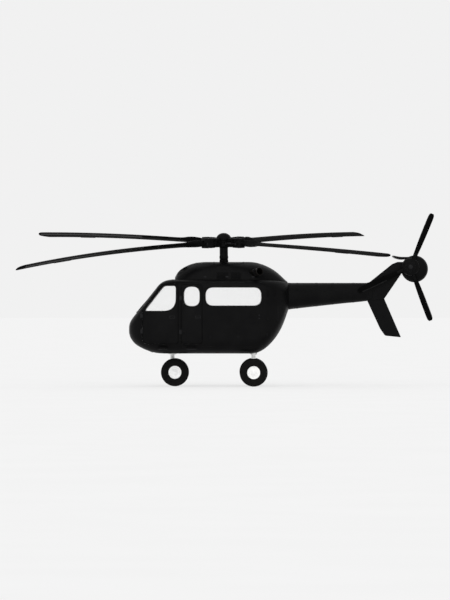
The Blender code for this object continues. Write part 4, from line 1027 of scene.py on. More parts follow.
def build_skins(body):
    """The shell cut into the panels of the CAD part."""
    nose, tail = HULL[0][0] - 0.2, HULL[-1][0] + 0.2
    middle = (COCKPIT_REAR + SEAM, CABIN_REAR - SEAM)
    side_z = (BELLY_SEAM_Z + SEAM, ROOF_SEAM_Z - SEAM)
    left, right = (ALL_ACROSS[0], 0), (0, ALL_ACROSS[1])
    panels = (
        ("cockpit_shell", (nose, COCKPIT_REAR), ALL_HEIGHTS, ALL_ACROSS),
        ("aft_shell", (CABIN_REAR, tail), ALL_HEIGHTS, ALL_ACROSS),
        ("belly_panel", middle, (ALL_HEIGHTS[0], BELLY_SEAM_Z), ALL_ACROSS),
        ("cabin_side_port", middle, side_z, left),
        ("cabin_side_starboard", middle, side_z, right),
        ("cabin_roof", middle, (ROOF_SEAM_Z, ALL_HEIGHTS[1]), ALL_ACROSS),
    )
    for name, stations, heights, across in panels:
        panel = bevel(common(copy_of(body), region(stations, heights, across)), 0.003, 1, 50)
        piece(line_paint(panel), f"{name}_skin", "airframe", None, name, angle=40)


def build_rings(overlay):
    """Lap bands round the hull, each with a row of screws near both edges."""
    for number, stations in enumerate(RINGS, start=1):
        piece(common(copy_of(overlay), region(stations)), f"hull_ring_{number}", "airframe", BODY)
        screws = []
        for station in (stations[0] + RING_SCREWS_IN, stations[1] - RING_SCREWS_IN):
            ring = hull_ring(between_rows(FINE_HULL, station), -OVERLAY)
            middle_z = (ring[0][2] + ring[len(ring) // 2][2]) / 2
            for point in evenly([*ring, ring[0]], RING_SCREWS_APART):
                screws.append((point, (0, point.y, 1.6 * (point.z - middle_z))))
        piece(studs(screws, *SCREW), f"hull_ring_screws_{number}", "airframe", BODY)


def build_hull():
    shell = cut(hull_solid(), hull_solid(WALL))
    pane = cut(hull_solid(GLASS_INSET), hull_solid(GLASS_INSET + GLASS_THICK))
    overlay = cut(hull_solid(-OVERLAY), hull_solid(OVERLAY_DEPTH))
    body = copy_of(shell)
    for side, word in SIDES:
        for row in DOORS:
            build_door(row, side, word, shell, pane, body)
        build_side(side, word, pane, overlay, body)
        build_windscreen(side, word, pane, body)
    build_skins(body)
    build_rings(overlay)
    remove(shell, pane, body, overlay)


build_hull()


# Engine cowling, intakes and exhausts

COWL_SEAMS, COWL_BAND_HALF_WIDTH = (-0.86, -0.30, 0.62, 1.22), 0.022
COWL_SCREWS_FROM_Z = 3.36                # the bands have no screws below this height
COWL_LOUVRES = (("front", (-0.22, 0.14)), ("rear", (0.22, 0.54)))
COWL_LOUVRE_Z = (3.36, 3.40, 3.44, 3.48, 3.52, 3.56)
COWL_SLAT = ((-0.006, 0.0), (0.018, -0.014), (0.018, -0.019), (-0.006, -0.012))
LATCH_STATIONS, LATCH_Z = (-0.58, 0.10, 0.92), 3.405
SCREEN_STATION, SCREEN_PITCH = -1.20, 0.024
DUCT_STATION, DUCT_LENGTH = -0.86, 0.70
BOOT_Z, BOOT_FOLDS = 3.885, 5


def cowl_ring(row, inset, base_z=COWL_BASE_Z):
    """Half a superellipse over the cabin roof, closed along its base."""
    station, z_top, half_width = row
    height, half = z_top - inset - base_z, half_width - inset
    ring = []
    for step in range(COWL_STEPS + 1):
        angle = pi * step / COWL_STEPS
        across, up = cos(angle), sin(angle)
        y = half * abs(across) ** (2 / COWL_ROUNDNESS) * (1 if across >= 0 else -1)
        ring.append(spot(station, y, base_z + height * up ** (2 / COWL_ROUNDNESS)))
    return ring


def cowl_solid(inset=0.0, base_z=COWL_BASE_Z):
    rows = rows_between(FINE_COWL, COWL[0][0] + inset, COWL[-1][0] - inset)
    return loft([cowl_ring(row, inset, base_z) for row in rows])


def cowl_shell(outer, inner):
    """The cowling's form between two insets, open below and clear of the hull."""
    return cut(cowl_solid(outer), cowl_solid(inner, COWL_BASE_Z - 0.1), hull_solid(-SEAM))


def cowl_y(station, z):
    """Half-width of the cowling at a station and height."""
    _, z_top, half = between_rows(FINE_COWL, station)
    up = min(1.0, max(0.0, (z - COWL_BASE_Z) / (z_top - COWL_BASE_Z)))
    return half * (1 - up ** COWL_ROUNDNESS) ** (1 / COWL_ROUNDNESS)


def cowl_front(y, z):
    """Station of the cowling's front skin at a place across and up, found by halving."""
    ahead, inside = COWL[0][0], COWL[4][0]
    for _ in range(24):
        middle = (ahead + inside) / 2
        _, z_top, half = between_rows(FINE_COWL, middle)
        up = (z - COWL_BASE_Z) / (z_top - COWL_BASE_Z)
        reach = (abs(y) / half) ** COWL_ROUNDNESS + up ** COWL_ROUNDNESS
        ahead, inside = (ahead, middle) if reach < 1 else (middle, inside)
    return inside


def mast_frame():
    """Frame of the rotor: its origin at the hub, its Z axis along the mast."""
    lean = Matrix.Rotation(MAST_PORT, 4, "X") @ Matrix.Rotation(-MAST_FORWARD, 4, "Y")
    return Matrix.Translation((at(0), 0, HUB_Z)) @ lean


def ring_of(radius, thick, centre, axis, steps=64, sides=12):
    """A round ring, thick from its middle line."""
    profile = [(radius + thick * x, thick * y) for x, y in circle(sides)]
    return turned(profile, centre, axis, steps, closed=True)


def exhaust_ends(side):
    return [spot(station, side * y, z) for station, y, z in (EXHAUST_FROM, EXHAUST_TO)]


def exhaust_hole(side):
    start, end = exhaust_ends(side)
    along = (end - start).normalized()
    return rod(start - along * 0.1, end + along * 0.2, EXHAUST_RADIUS + SEAM, segments=64)


def build_exhaust(side, word):
    """Pipe with a rolled lip, and the bolted clamp round it."""
    start, end = exhaust_ends(side)
    along, length = (end - start).normalized(), (end - start).length
    outer, inner = EXHAUST_RADIUS, EXHAUST_RADIUS - EXHAUST_WALL
    profile = (
        (0.0, 0.20), (inner, 0.20), (inner - 0.004, length - 0.06), (inner, length), (outer, length),
        (outer + 0.005, length - 0.010), (outer + 0.005, length - 0.028), (outer, length - 0.036),
        (outer, 0.0), (0.0, 0.0),
    )
    pipe = cut(turned(profile, start, along, 64), block((0, 2), (-0.30, 0.30), (3, 4)))
    piece(pipe, f"exhaust_pipe_{word}", "airframe", BURNT, f"exhaust_{word}")
    clamp = start + along * (length - 0.16)
    bolts = round_spots(clamp + along * 0.006, along, outer + 0.012, 12)
    shapes = ring_of(outer + 0.008, 0.007, clamp, along), studs(bolts, 0.007, 0.006, 6)
    piece(merge(*shapes), f"exhaust_clamp_{word}", "airframe", DARK)
    lip = ring_of(outer + 0.003, 0.005, end - along * 0.004, along)
    piece(lip, f"exhaust_lip_{word}", "airframe", BURNT)


def build_cowl_skin():
    intakes = [rod(spot(-1.75, side * INTAKE_Y, INTAKE_Z), spot(-1.05, side * INTAKE_Y, INTAKE_Z),
                   INTAKE_RADIUS, segments=64) for side, _ in SIDES]
    low, high = [mast_frame() @ Vector((0, 0, z)) for z in (-1.0, 0.3)]
    mast_hole = rod(low, high, MAST_HOLE_RADIUS, segments=64)
    cowl = cut(cowl_shell(0.0, COWL_SKIN), mast_hole, *intakes, *[exhaust_hole(side) for side, _ in SIDES])
    bevel(cowl, 0.004, 2, 50)
    piece(cowl, "engine_cowling_skin", "airframe", BODY, "engine_cowling", angle=40)


def build_cowl_bands():
    """Lap bands over the cowling, and the places of their screws."""
    overlay = cowl_shell(-OVERLAY, OVERLAY_DEPTH)
    bands, screws = [], []
    for station in COWL_SEAMS:
        bands.append(common(copy_of(overlay), region(span(station, COWL_BAND_HALF_WIDTH))))
        for row_station in span(station, RING_SCREWS_IN):
            ring = cowl_ring(between_rows(FINE_COWL, row_station), -OVERLAY)
            screws += [(point, (0, point.y, point.z - 3.1)) for point in evenly(ring, SEAM_SCREWS_APART)
                       if point.z > COWL_SCREWS_FROM_Z]
    piece(merge(*bands), "cowling_lap_bands", "airframe", BODY)
    remove(overlay)
    return screws


def cowl_latches(side):
    shapes = []
    for station in LATCH_STATIONS:
        y = cowl_y(station, LATCH_Z)
        shapes.append(block(span(station, 0.045), (side * (y - 0.006), side * (y + 0.012)),
                            span(LATCH_Z, 0.030), 0.006))
        ends = [spot(place, side * (y + 0.016), LATCH_Z) for place in span(station, 0.03)]
        shapes.append(rod(*ends, 0.006, segments=12))
    return shapes


def build_intake(side, word):
    """Lip round the intake, and the duct with its wire screen."""
    rim = []
    for across, up in circle(48):
        y = INTAKE_Y + (INTAKE_RADIUS + 0.004) * across
        z = INTAKE_Z + (INTAKE_RADIUS + 0.004) * up
        rim.append(spot(cowl_front(y, z), side * y, z))
    piece(tube(rim, 0.011, closed=True), f"intake_lip_{word}", "airframe", BODY)
    middle = spot(SCREEN_STATION, side * INTAKE_Y, INTAKE_Z)
    ahead = middle - Vector((0.004, 0, 0))
    wires = []
    for k in range(-4, 5):
        shift = k * SCREEN_PITCH
        reach = sqrt(INTAKE_RADIUS ** 2 - shift ** 2) - 0.001
        upright = [middle + Vector((0, shift, z)) for z in span(0, reach)]
        level = [ahead + Vector((0, y, shift)) for y in span(0, reach)]
        wires += [rod(*ends, 0.0022, segments=6) for ends in (upright, level)]
    outer, inner = INTAKE_RADIUS + 0.002, INTAKE_RADIUS - 0.006
    profile = (
        (0.0, 0.0), (outer, 0.0), (outer, DUCT_LENGTH), (inner, DUCT_LENGTH), (inner, 0.34),
        (inner - 0.006, 0.012), (0.0, 0.012),
    )
    duct = turned(profile, spot(DUCT_STATION, side * INTAKE_Y, INTAKE_Z), (-1, 0, 0), 48)
    piece(merge(*wires, common(duct, cowl_solid(0.001))), f"intake_duct_{word}", "airframe", MESH)


def build_mast_boot():
    """Folded rubber boot between the mast and the hole in the cowling."""
    top, low = BOOT_Z - HUB_Z, MAST_HOLE_RADIUS + 0.012
    boot = [(MAST_RADIUS + 0.001, top + 0.05)]
    for k in range(BOOT_FOLDS):
        z = top - 0.016 * k
        boot += [(MAST_RADIUS + 0.009, z + 0.040), (MAST_RADIUS + 0.005, z + 0.032)]
    boot += [(low, top - 0.050), (low, top - 0.062), (MAST_RADIUS + 0.001, top - 0.062)]
    shape = moved(turned(boot, (0, 0, 0), UP, 64, closed=True), mast_frame())
    piece(shape, "mast_boot", "airframe", SEAL)


def build_cowling():
    for side, word in SIDES:
        build_exhaust(side, word)
    build_cowl_skin()
    screws = build_cowl_bands()
    latches = []
    for side, word in SIDES:
        for place, (start, end) in COWL_LOUVRES:
            stations = (start, (start + end) / 2, end)
            slats = louvres(stations, COWL_LOUVRE_Z, cowl_y, COWL_SLAT, side)
            piece(slats, f"cowling_louvres_{word}_{place}", "airframe", BODY)
        latches += cowl_latches(side)
        build_intake(side, word)
    piece(merge(*latches), "cowling_latches", "airframe", DARK)
    piece(studs(screws, *SCREW), "cowling_screws", "airframe", BODY)
    build_mast_boot()


build_cowling()


# Main rotor

FINE_BLADE = smooth_table(BLADE, 0.012)
TIP_LENGTH, TIP_STEPS = 0.24, 12         # of the round end, along the blade
STRIP_STEP = 0.16
EDGE_STRIP, TRIM_TAB = (3.2, 7.45), (5.55, 6.15)         # from radius to radius
GRIP_PINS = ((0.0, 0.0, 0.040), (0.16, 0.045, 0.026), (0.16, -0.045, 0.026))      # place and radius
ON_AXIS = Matrix.Identity(4)


def airfoil(chord, thick, points=16):
    """Outline of a blade section: round nose forward (+v), thin tail, centred on mid chord."""
    upper = []
    for k in range(points + 1):
        share = (1 - cos(pi * k / points)) / 2
        height = thick * (1.485 * sqrt(share) - 0.630 * share - 1.758 * share ** 2 + 1.4215 * share ** 3
                          - 0.508 * share ** 4)
        upper.append((chord / 2 - chord * share, max(height, 0.0015)))
    lower = [(v, -w * 0.8) for v, w in reversed(upper[1:])]
    return [(chord / 2, 0.0)] + upper[1:] + lower


def pitched(section, pitch):
    return [(v * cos(pitch) - w * sin(pitch), v * sin(pitch) + w * cos(pitch)) for v, w in section]


def tip_chord(radius):
    """Share of the chord that is left in the round end of a blade."""
    into = max(0.0, radius - (ROTOR_RADIUS - TIP_LENGTH)) / TIP_LENGTH
    return max(0.16, sqrt(max(0.0, 1 - into ** 2.2)))


def blade_section(radius, parked, section=None):
    """Ring of the blade at a radius, in the frame of its drag hinge."""
    _, flap, pitch, droop = parked
    _, chord_share, thick_share = between_rows(FINE_BLADE, min(radius, 0.985 * ROTOR_RADIUS) / ROTOR_RADIUS)
    chord_share *= tip_chord(radius)
    thick_share *= tip_chord(radius) ** 0.5
    rise = (radius - HINGE_R) * sin(radians(flap)) - droop * (radius / ROTOR_RADIUS) ** DROOP_POWER
    shape = airfoil(CHORD * chord_share, BLADE_THICK * thick_share)
    if section:
        shape = section(shape)
    return [(radius - HINGE_R, v, w + rise) for v, w in pitched(shape, radians(pitch))]


def blade_stations():
    """Radii of the skin's sections, close together at the root and round the tip."""
    root = [row[0] * ROTOR_RADIUS for row in FINE_BLADE]
    spar = [ROTOR_RADIUS * 0.235 + 0.2 * k for k in range(28)]
    tip = [ROTOR_RADIUS - TIP_LENGTH * (1 - sin(pi / 2 * k / TIP_STEPS)) for k in range(TIP_STEPS + 1)]
    inner = [radius for radius in root + spar if radius < tip[0] - 0.02]
    return sorted({round(radius, 4) for radius in inner + tip})


def strip_stations(start, end):
    count = max(2, int((end - start) / STRIP_STEP) + 1)
    return [start + (end - start) * k / count for k in range(count + 1)]


def nose_strip(points, out):
    """Takes the front of a section and makes it a thin shell that stands proud by out."""
    def shape(section):
        front = [*section[-points:], *section[:points + 1]]
        grown = []
        for v, w in front:
            lift = (1 if w > 0 else -1) * min(1, abs(w) / 0.006)
            grown.append((v + out * (1 if v > 0 else 0.5), w + out * lift))
        return [*grown, *reversed([(v - 0.004, w * 0.9) for v, w in front])]
    return shape


def trim_tab(section):
    """A thin plate that reaches behind the rear edge of a section."""
    tail = section[16][0]
    front, rear = tail + 0.012, tail - 0.045
    return [(front, 0.0035), (rear, 0.0015), (rear, -0.0015), (front, -0.0035)]


def blade_turn(azimuth, lag):
    """Frame of a blade's drag hinge, in the rotor's frame."""
    hinge = Matrix.Rotation(radians(azimuth), 4, "Z") @ Matrix.Translation((HINGE_R, 0, 0))
    return hinge @ Matrix.Rotation(radians(lag), 4, "Z")


def on_rotor(shape, frame_, name, material, *replaced, angle=35):
    """Makes a shape a piece of the main rotor; the frame is given in the rotor's own."""
    piece(moved(shape, mast_frame() @ frame_), name, "main_rotor", material, *replaced, angle=angle)


def build_fork(name, frame_):
    """Fork with rounded cheeks, root taper, pins and nuts."""
    slot = BARREL_HALF_HEIGHT + SEAM
    grip = box((-GRIP_HALF_WIDTH, -GRIP_HALF_WIDTH, CHEEK_LOW), (GRIP_LENGTH, GRIP_HALF_WIDTH, CHEEK_HIGH),
               0.02, 4)
    join(grip, rod((GRIP_LENGTH - 0.02, 0, 0), (GRIP_LENGTH + 0.30, 0, -0.004), 0.085, 0.055, 48))
    hole = rod((0, 0, -slot), (0, 0, slot), BARREL_RADIUS + 5 * SEAM, segments=64)
    cut(grip, hole, box((-0.2, -0.2, -slot), (0, 0.2, slot)))
    on_rotor(bevel(grip, 0.004, 2, 50), frame_, f"{name}_fork", ROTOR, angle=40)
    pins, nuts = [], []
    for x, y, r in GRIP_PINS:
        for face, out in ((CHEEK_LOW, -1), (CHEEK_HIGH, 1)):
            top, foot = face + 0.004 * out, face - 0.004 * out
            cap = ((0.0, top), (r * 1.15, top), (r * 1.25, face + 0.001 * out), (r * 1.25, foot), (0.0, foot))
            pins.append(turned(cap, (x, y, 0), UP, 32))
            nuts.append(((x, y, top), (0, 0, out)))
    on_rotor(merge(*pins, studs(nuts, 0.018, 0.004, 6)), frame_, f"{name}_pins", DARK)
    horn = box((0.225, 0.06, -0.030), (0.275, 0.19, 0.030), 0.010, 3)
    horn_pin = rod((0.25, 0.165, -0.045), (0.25, 0.165, 0.045), 0.014, segments=24)
    on_rotor(merge(horn, horn_pin), frame_, f"{name}_pitch_horn", DARK)


def build_blade(number, azimuth, parked):
    frame_, name = blade_turn(azimuth, parked[0]), f"main_blade_{number}"

    def blade_loft(stations, section=None):
        return loft([blade_section(radius, parked, section) for radius in stations])

    on_rotor(blade_loft(blade_stations()), frame_, f"{name}_skin", BLADES, name, angle=50)
    strip = blade_loft(strip_stations(*EDGE_STRIP), nose_strip(4, 0.0012))
    on_rotor(strip, frame_, f"{name}_edge_strip", EROSION, angle=50)
    tab = blade_loft(strip_stations(*TRIM_TAB), trim_tab)
    on_rotor(tab, frame_, f"{name}_trim_tab", BLADES)
    build_fork(name, frame_)


def rotor_arm():
    """Arm with its shoulders and the barrel that a blade's fork turns on."""
    wide = SHOULDER_HALF_WIDTH
    arm = box((0.05, -0.075, -0.062), (HINGE_R, 0.075, 0.062), 0.012, 3)
    join(arm, box((0.05, -wide, SHOULDER_LOW), (SHOULDER_R, wide, DRUM_HIGH - 0.006), 0.012, 3),
         box((CAP_RADIUS + 0.008, -wide, 0.0), (SHOULDER_R - 0.001, wide, SHOULDER_HIGH), 0.012, 3))
    for side, _ in SIDES:
        cut(arm, box((0.26, side * 0.066, -0.075), (0.41, side * 0.12, 0.075), 0.010, 2))
    low, high = [(HINGE_R, 0, z) for z in span(0, BARREL_HALF_HEIGHT)]
    return join(arm, rod(low, high, BARREL_RADIUS, segments=64))


def round_axis(count, radius, height, turn=0.0):
    """Places round the rotor's axis, each with the way outwards as its normal."""
    return [(Vector((radius * x, radius * y, height)), (x, y, 0)) for x, y in circle(count, turn)]


def build_head():
    low, high, edge, groove = DRUM_LOW, DRUM_HIGH, DRUM_RADIUS, DRUM_RADIUS - 0.012
    profile = (
        (0.0, low), (edge - 0.02, low), (edge, low + 0.02), (edge, -0.035), (groove, -0.028),
        (groove, 0.020), (edge, 0.027), (edge, high - 0.012), (groove, high), (0.0, high),
    )
    drum = turned(profile, (0, 0, 0), UP, 96)
    for azimuth in ARM_AZIMUTHS:
        join(drum, moved(rotor_arm(), Matrix.Rotation(radians(azimuth), 4, "Z")))
    on_rotor(bevel(drum, 0.003, 2, 50), ON_AXIS, "rotor_head_body", ROTOR, "rotor_head", angle=40)
    bolts = [*round_axis(16, edge, low + 0.045, 0.1), *round_axis(16, edge, high - 0.03, 0.1)]
    on_rotor(studs(bolts, 0.011, 0.008, 6), ON_AXIS, "rotor_head_bolts", DARK)


def damper(near, far):
    """Cylinder and rod between two points, with a bearing at each end."""
    length = (far - near).length
    profile = (
        (0.0, 0.0), (0.014, 0.0), (0.014, 0.05), (0.034, 0.06), (0.036, 0.075), (0.036, length * 0.58),
        (0.030, length * 0.60), (0.014, length * 0.61), (0.014, length), (0.0, length),
    )
    shapes = [turned(profile, near, far - near, 40)]
    half = Vector((0, 0, 0.030))
    for end in (near, far):
        shapes.append(rod(end - half, end + half, 0.024, segments=24, rounded=0.004))
    return shapes


def build_dampers():
    """Each damper lies on the side that its blade's fork has turned away from."""
    shapes = []
    for azimuth, parked in zip(ARM_AZIMUTHS, PARKED):
        side = 1 if parked[0] > 0 else -1
        arm, blade = Matrix.Rotation(radians(azimuth), 4, "Z"), blade_turn(azimuth, parked[0])
        across = side * 0.130
        shapes += damper(arm @ Vector((0.22, across, -0.01)), blade @ Vector((0.12, across, -0.01)))
        for frame_, x, y in ((arm, 0.22, 0.07), (blade, 0.12, 0.08)):
            lug = box((x - 0.02, side * y, -0.024), (x + 0.02, side * 0.13, 0.004), 0.004)
            shapes.append(moved(lug, frame_))
    on_rotor(merge(*shapes), ON_AXIS, "rotor_dampers", DARK)


def build_mast():
    """Mast with a thicker sleeve half way and a flange under the drum."""
    r, low, top = MAST_RADIUS, SEAM - MAST_LENGTH, DRUM_LOW
    profile = (
        (0.0, low), (r, low), (r, -0.50), (r + 0.003, -0.495), (r + 0.008, -0.475), (r + 0.008, -0.425),
        (r + 0.003, -0.405), (r, -0.400), (r, top - 0.03), (r + 0.02, top - 0.012), (r + 0.02, top - SEAM),
        (0.0, top - SEAM),
    )
    on_rotor(turned(profile, (0, 0, 0), UP, 96), ON_AXIS, "rotor_mast_tube", ROTOR, "rotor_mast", angle=40)


def build_cap():
    """Dome over the drum with a row of screws round its rim."""
    rim, steps = DRUM_HIGH + SEAM, 20
    dome = [(0.0, rim), (CAP_RADIUS - 0.006, rim), (CAP_RADIUS, rim + 0.006)]
    for k in range(steps):
        angle = pi / 2 * k / steps
        dome.append((CAP_RADIUS * cos(angle), rim + 0.03 + (CAP_HEIGHT - 0.03) * sin(angle)))
    dome.append((0.0, rim + CAP_HEIGHT))
    on_rotor(turned(dome, (0, 0, 0), UP, 96), ON_AXIS, "rotor_cap_dome", ROTOR, "rotor_cap")
    screws = round_axis(20, CAP_RADIUS * 0.999, rim + 0.024)
    on_rotor(studs(screws, 0.008, 0.003), ON_AXIS, "rotor_cap_screws", DARK)


def build_main_rotor():
    build_head()
    build_dampers()
    build_mast()
    build_cap()
    for number, (azimuth, parked) in enumerate(zip(ARM_AZIMUTHS, PARKED), start=1):
        build_blade(number, azimuth, parked)


build_main_rotor()


# Tail

FINE_BOOM, BOOM_STEPS = smooth_table(BOOM, 0.15), 72
BOOM_FRAMES = (2.30, 2.90, 3.40, 4.05, 2.05)
BOOM_SEAMS = (0.0, 0.7)                  # heights of the rows of screws, as shares of the half-height
FIN_EDGE = 0.055
FIN_SCREWS = (                           # half-thickness of the fin, and both ends of a row
    (PYLON_HALF_THICK, (4.60, 2.86), (5.43, 3.70)),
    (PYLON_HALF_THICK, (4.95, 2.86), (5.78, 3.70)),
    (VENTRAL_HALF_THICK, (4.80, 2.40), (5.24, 1.66)),
)
PYLON_COVER = rectangle((4.92, 3.10), (5.18, 3.34), 0.05)
TAIL_CASE = (
    (0.0, 0.14), (0.245, 0.14), (0.26, 0.136), (0.352, 0.120), (0.372, 0.112), (0.415, 0.050), (0.42, 0.036),
    (0.42, -0.036), (0.415, -0.050), (0.360, -0.116), (0.340, -0.128), (0.170, -0.167), (0.150, -0.170),
    (0.0, -0.180),
)
STABILISER_RIBS = (0.30, 0.72, STABILISER_TIP_Y - 0.08)
TO_PORT = (0, -1, 0)


def boom_ring(row, grow=0.0):
    """Section of the tail boom, a superellipse."""
    station, z_bottom, z_top, half_width = row
    middle, half_height = (z_bottom + z_top) / 2, (z_top - z_bottom) / 2 + grow
    ring = []
    for across, up in circle(BOOM_STEPS):
        y = (half_width + grow) * abs(across) ** 0.8 * (1 if across >= 0 else -1)
        z = middle + half_height * abs(up) ** 0.8 * (1 if up >= 0 else -1)
        ring.append(spot(station, y, z))
    return ring


def boom_solid(grow=0.0):
    return loft([boom_ring(row, grow) for row in FINE_BOOM])


def boom_frame(station):
    """Lap band round the boom."""
    front, rear = [between_rows(FINE_BOOM, place) for place in span(station, 0.03)]
    section = ((front, -OVERLAY), (front, OVERLAY), (rear, OVERLAY), (rear, -OVERLAY))
    return loft([boom_ring(row, grow) for row, grow in section])


def build_boom():
    piece(boom_solid(), "tail_boom_skin", "airframe", TAIL, "tail_boom", angle=50)
    piece(merge(*[boom_frame(station) for station in BOOM_FRAMES]), "tail_boom_frames", "airframe", TAIL)
    screws = []
    for station in BOOM_FRAMES:
        for place in span(station, 0.018):
            row = between_rows(FINE_BOOM, place)
            ring, middle = boom_ring(row, OVERLAY), (row[1] + row[2]) / 2
            screws += [(point, (0, point.y, point.z - middle)) for point in evenly([*ring, ring[0]], 0.055)]
    for share in BOOM_SEAMS:
        for side, _ in SIDES:
            for k in range(38):
                station, z_bottom, z_top, half_width = between_rows(FINE_BOOM, 2.12 + 0.06 * k)
                z = (z_bottom + z_top) / 2 + (z_top - z_bottom) / 2 * share
                y = half_width * (1 - share ** 2.5) ** 0.4
                screws.append((spot(station, side * y, z), (0, side, share)))
    piece(studs(screws, *SMALL_SCREW), "tail_boom_screws", "airframe", TAIL)


def upright(outline, low, high):
    """An outline in the side view made solid between two places across."""
    return prism(outline, lambda u, v, y: spot(u, y, v), low, high)


def fin_seam(up):
    """Cutter for all that lies above (1) or below (-1) the line where the pylon and ventral fin meet."""
    (low, z_low), (high, z_high) = FIN_SEAM_LOW, FIN_SEAM_HIGH
    shift = -SEAM / 2 * up
    outline = [(low, z_low + shift), (high, z_high + shift), (high, z_high + up), (low, z_low + up)]
    return upright(outline, -0.5, 0.5)


def wider_housing(centre):
    """Cutter a seam wider than the tail gearbox."""
    profile = [(r + SEAM * (r > 0), -y + SEAM * (1 if y < 0 else -1)) for r, y in TAIL_HOUSING]
    return turned(profile, centre, TO_PORT, 64)


def build_fins(centre):
    """Pylon and ventral fin with soft edges, their screws and the pylon's covers."""
    pylon = upright(rounded_outline(PYLON), *span(0, PYLON_HALF_THICK))
    cut(bevel(pylon, FIN_EDGE, 6, 60), wider_housing(centre), boom_solid(SEAM), fin_seam(-1))
    piece(pylon, "tail_pylon_skin", "airframe", TAIL, "tail_pylon", angle=30)
    ventral = upright(rounded_outline(VENTRAL), *span(0, VENTRAL_HALF_THICK))
    cut(bevel(ventral, FIN_EDGE * 0.9, 6, 60), boom_solid(SEAM), fin_seam(1))
    piece(ventral, "ventral_fin_skin", "airframe", TAIL, "ventral_fin", angle=30)
    screws = []
    for side, _ in SIDES:
        for half_thick, low, high in FIN_SCREWS:
            for k in range(1, 14):
                point = Vector(low).lerp(Vector(high), k / 14)
                screws.append((spot(point.x, side * half_thick, point.y), (0, side, 0)))
    piece(studs(screws, 0.006, 0.0024), "fin_screws", "airframe", TAIL)
    covers = []
    for side, _ in SIDES:
        inner, outer = [side * (PYLON_HALF_THICK + out) for out in (-0.002, 0.004)]
        covers.append(upright(rounded_outline(PYLON_COVER), inner, outer))
    piece(merge(*covers), "pylon_inspection_covers", "airframe", TAIL)


def stabiliser_ring(table, y, size=1.0, grow=0.0):
    """Section of the stabiliser, shrunk by size about its middle."""
    middle, middle_z = STABILISER_MIDDLE
    upper = [(station, z_top + grow) for station, z_top, thickness in table]
    lower = [(station, z_top - thickness - grow) for station, z_top, thickness in reversed(table)]
    return [spot(middle + (station - middle) * size, y, middle_z + (z - middle_z) * size)
            for station, z in upper + lower]


def build_stabiliser(housing):
    """Fin across the top of the tail gearbox to starboard, with its round tip, ribs and brace."""
    table, tip, steps = smooth_table(STABILISER, 0.03), STABILISER_TIP_Y, 8
    rings = [stabiliser_ring(table, STABILISER_ROOT_Y)]
    for k in range(steps + 1):
        angle = pi / 2 * k / steps
        rings.append(stabiliser_ring(table, tip - 0.06 * (1 - sin(angle)), 1 - 0.2 * (1 - cos(angle))))
    piece(cut(loft(rings), housing), "stabiliser_skin", "airframe", TAIL, "stabiliser", angle=50)
    bands, screws = [], []
    for y in STABILISER_RIBS:
        near, far = span(y, 0.012)
        section = ((near, -0.001), (near, 0.0015), (far, 0.0015), (far, -0.001))
        bands.append(loft([stabiliser_ring(table, place, grow=grow) for place, grow in section]))
        screws += [(spot(station, y, z_top + 0.0015), UP) for station, z_top, _ in table[2:-2:2]]
    piece(merge(*bands), "stabiliser_ribs", "airframe", TAIL)
    piece(studs(screws, *SMALL_SCREW), "stabiliser_screws", "airframe", TAIL)
    foot, top = spot(*BRACE_FOOT), spot(*BRACE_TOP)
    along = (top - foot).normalized()
    strut = [rod(foot, top - along * 0.01, BRACE_RADIUS)]
    strut += [ring_of(BRACE_RADIUS, 0.006, foot.lerp(top, share), along, 32) for share in (0.12, 0.90)]
    piece(merge(*strut), "stabiliser_brace", "airframe", TAIL)


def build_tail_gearbox(centre):
    case = turned(TAIL_CASE, centre, TO_PORT, 96)
    piece(case, "tail_gearbox_case", "airframe", BODY, "tail_gearbox", angle=30)
    nuts = [*round_spots(centre + Vector((0, 0.084, 0)), (0, 1, 0), 0.385, 14),
            *round_spots(centre - Vector((0, 0.080, 0)), TO_PORT, 0.393, 14)]
    piece(studs(nuts, 0.013, 0.012, 6), "tail_gearbox_nuts", "airframe", DARK)


def build_tail():
    centre = spot(TAIL_DISC_STATION, 0, TAIL_DISC_Z)
    build_boom()
    build_fins(centre)
    build_stabiliser(wider_housing(centre))
    build_tail_gearbox(centre)


def tail_blade_loft(table, section=lambda outline: outline):
    rings = []
    for radius, chord, thick in table:
        outline = pitched(section(airfoil(chord, thick, 12)), TAIL_PITCH)
        rings.append([(radius, v, w) for v, w in outline])
    return loft(rings)


def build_tail_hub(centre):
    """Hub with a ring of bolts and the nut on its end."""
    profile = []
    for (r0, y0), (r1, y1) in zip(TAIL_HUB, TAIL_HUB[1:]):
        profile += [(r0, -y0), ((r0 + r1) / 2, -(y0 + y1) / 2)]
    hub = turned([*profile, (TAIL_HUB[-1][0], -TAIL_HUB[-1][1])], centre, TO_PORT, 96)
    piece(bevel(hub, 0.006, 2, 20), "tail_rotor_hub_shell", "tail_rotor", ROTOR, "tail_rotor_hub", angle=30)
    bolts = []
    for x, z in circle(12, pi / 12):
        bolts.append((centre + Vector((0.150 * x, -0.434, 0.150 * z)), (0.2 * x, -1, 0.2 * z)))
    piece(studs(bolts, 0.012, 0.008, 6), "tail_rotor_hub_bolts", "tail_rotor", DARK)
    nut = ((0.0, 0.44), (0.070, 0.44), (0.070, 0.452), (0.058, 0.463), (0.030, 0.470), (0.0, 0.472))
    piece(turned(nut, centre, TO_PORT), "tail_rotor_nut", "tail_rotor", DARK)


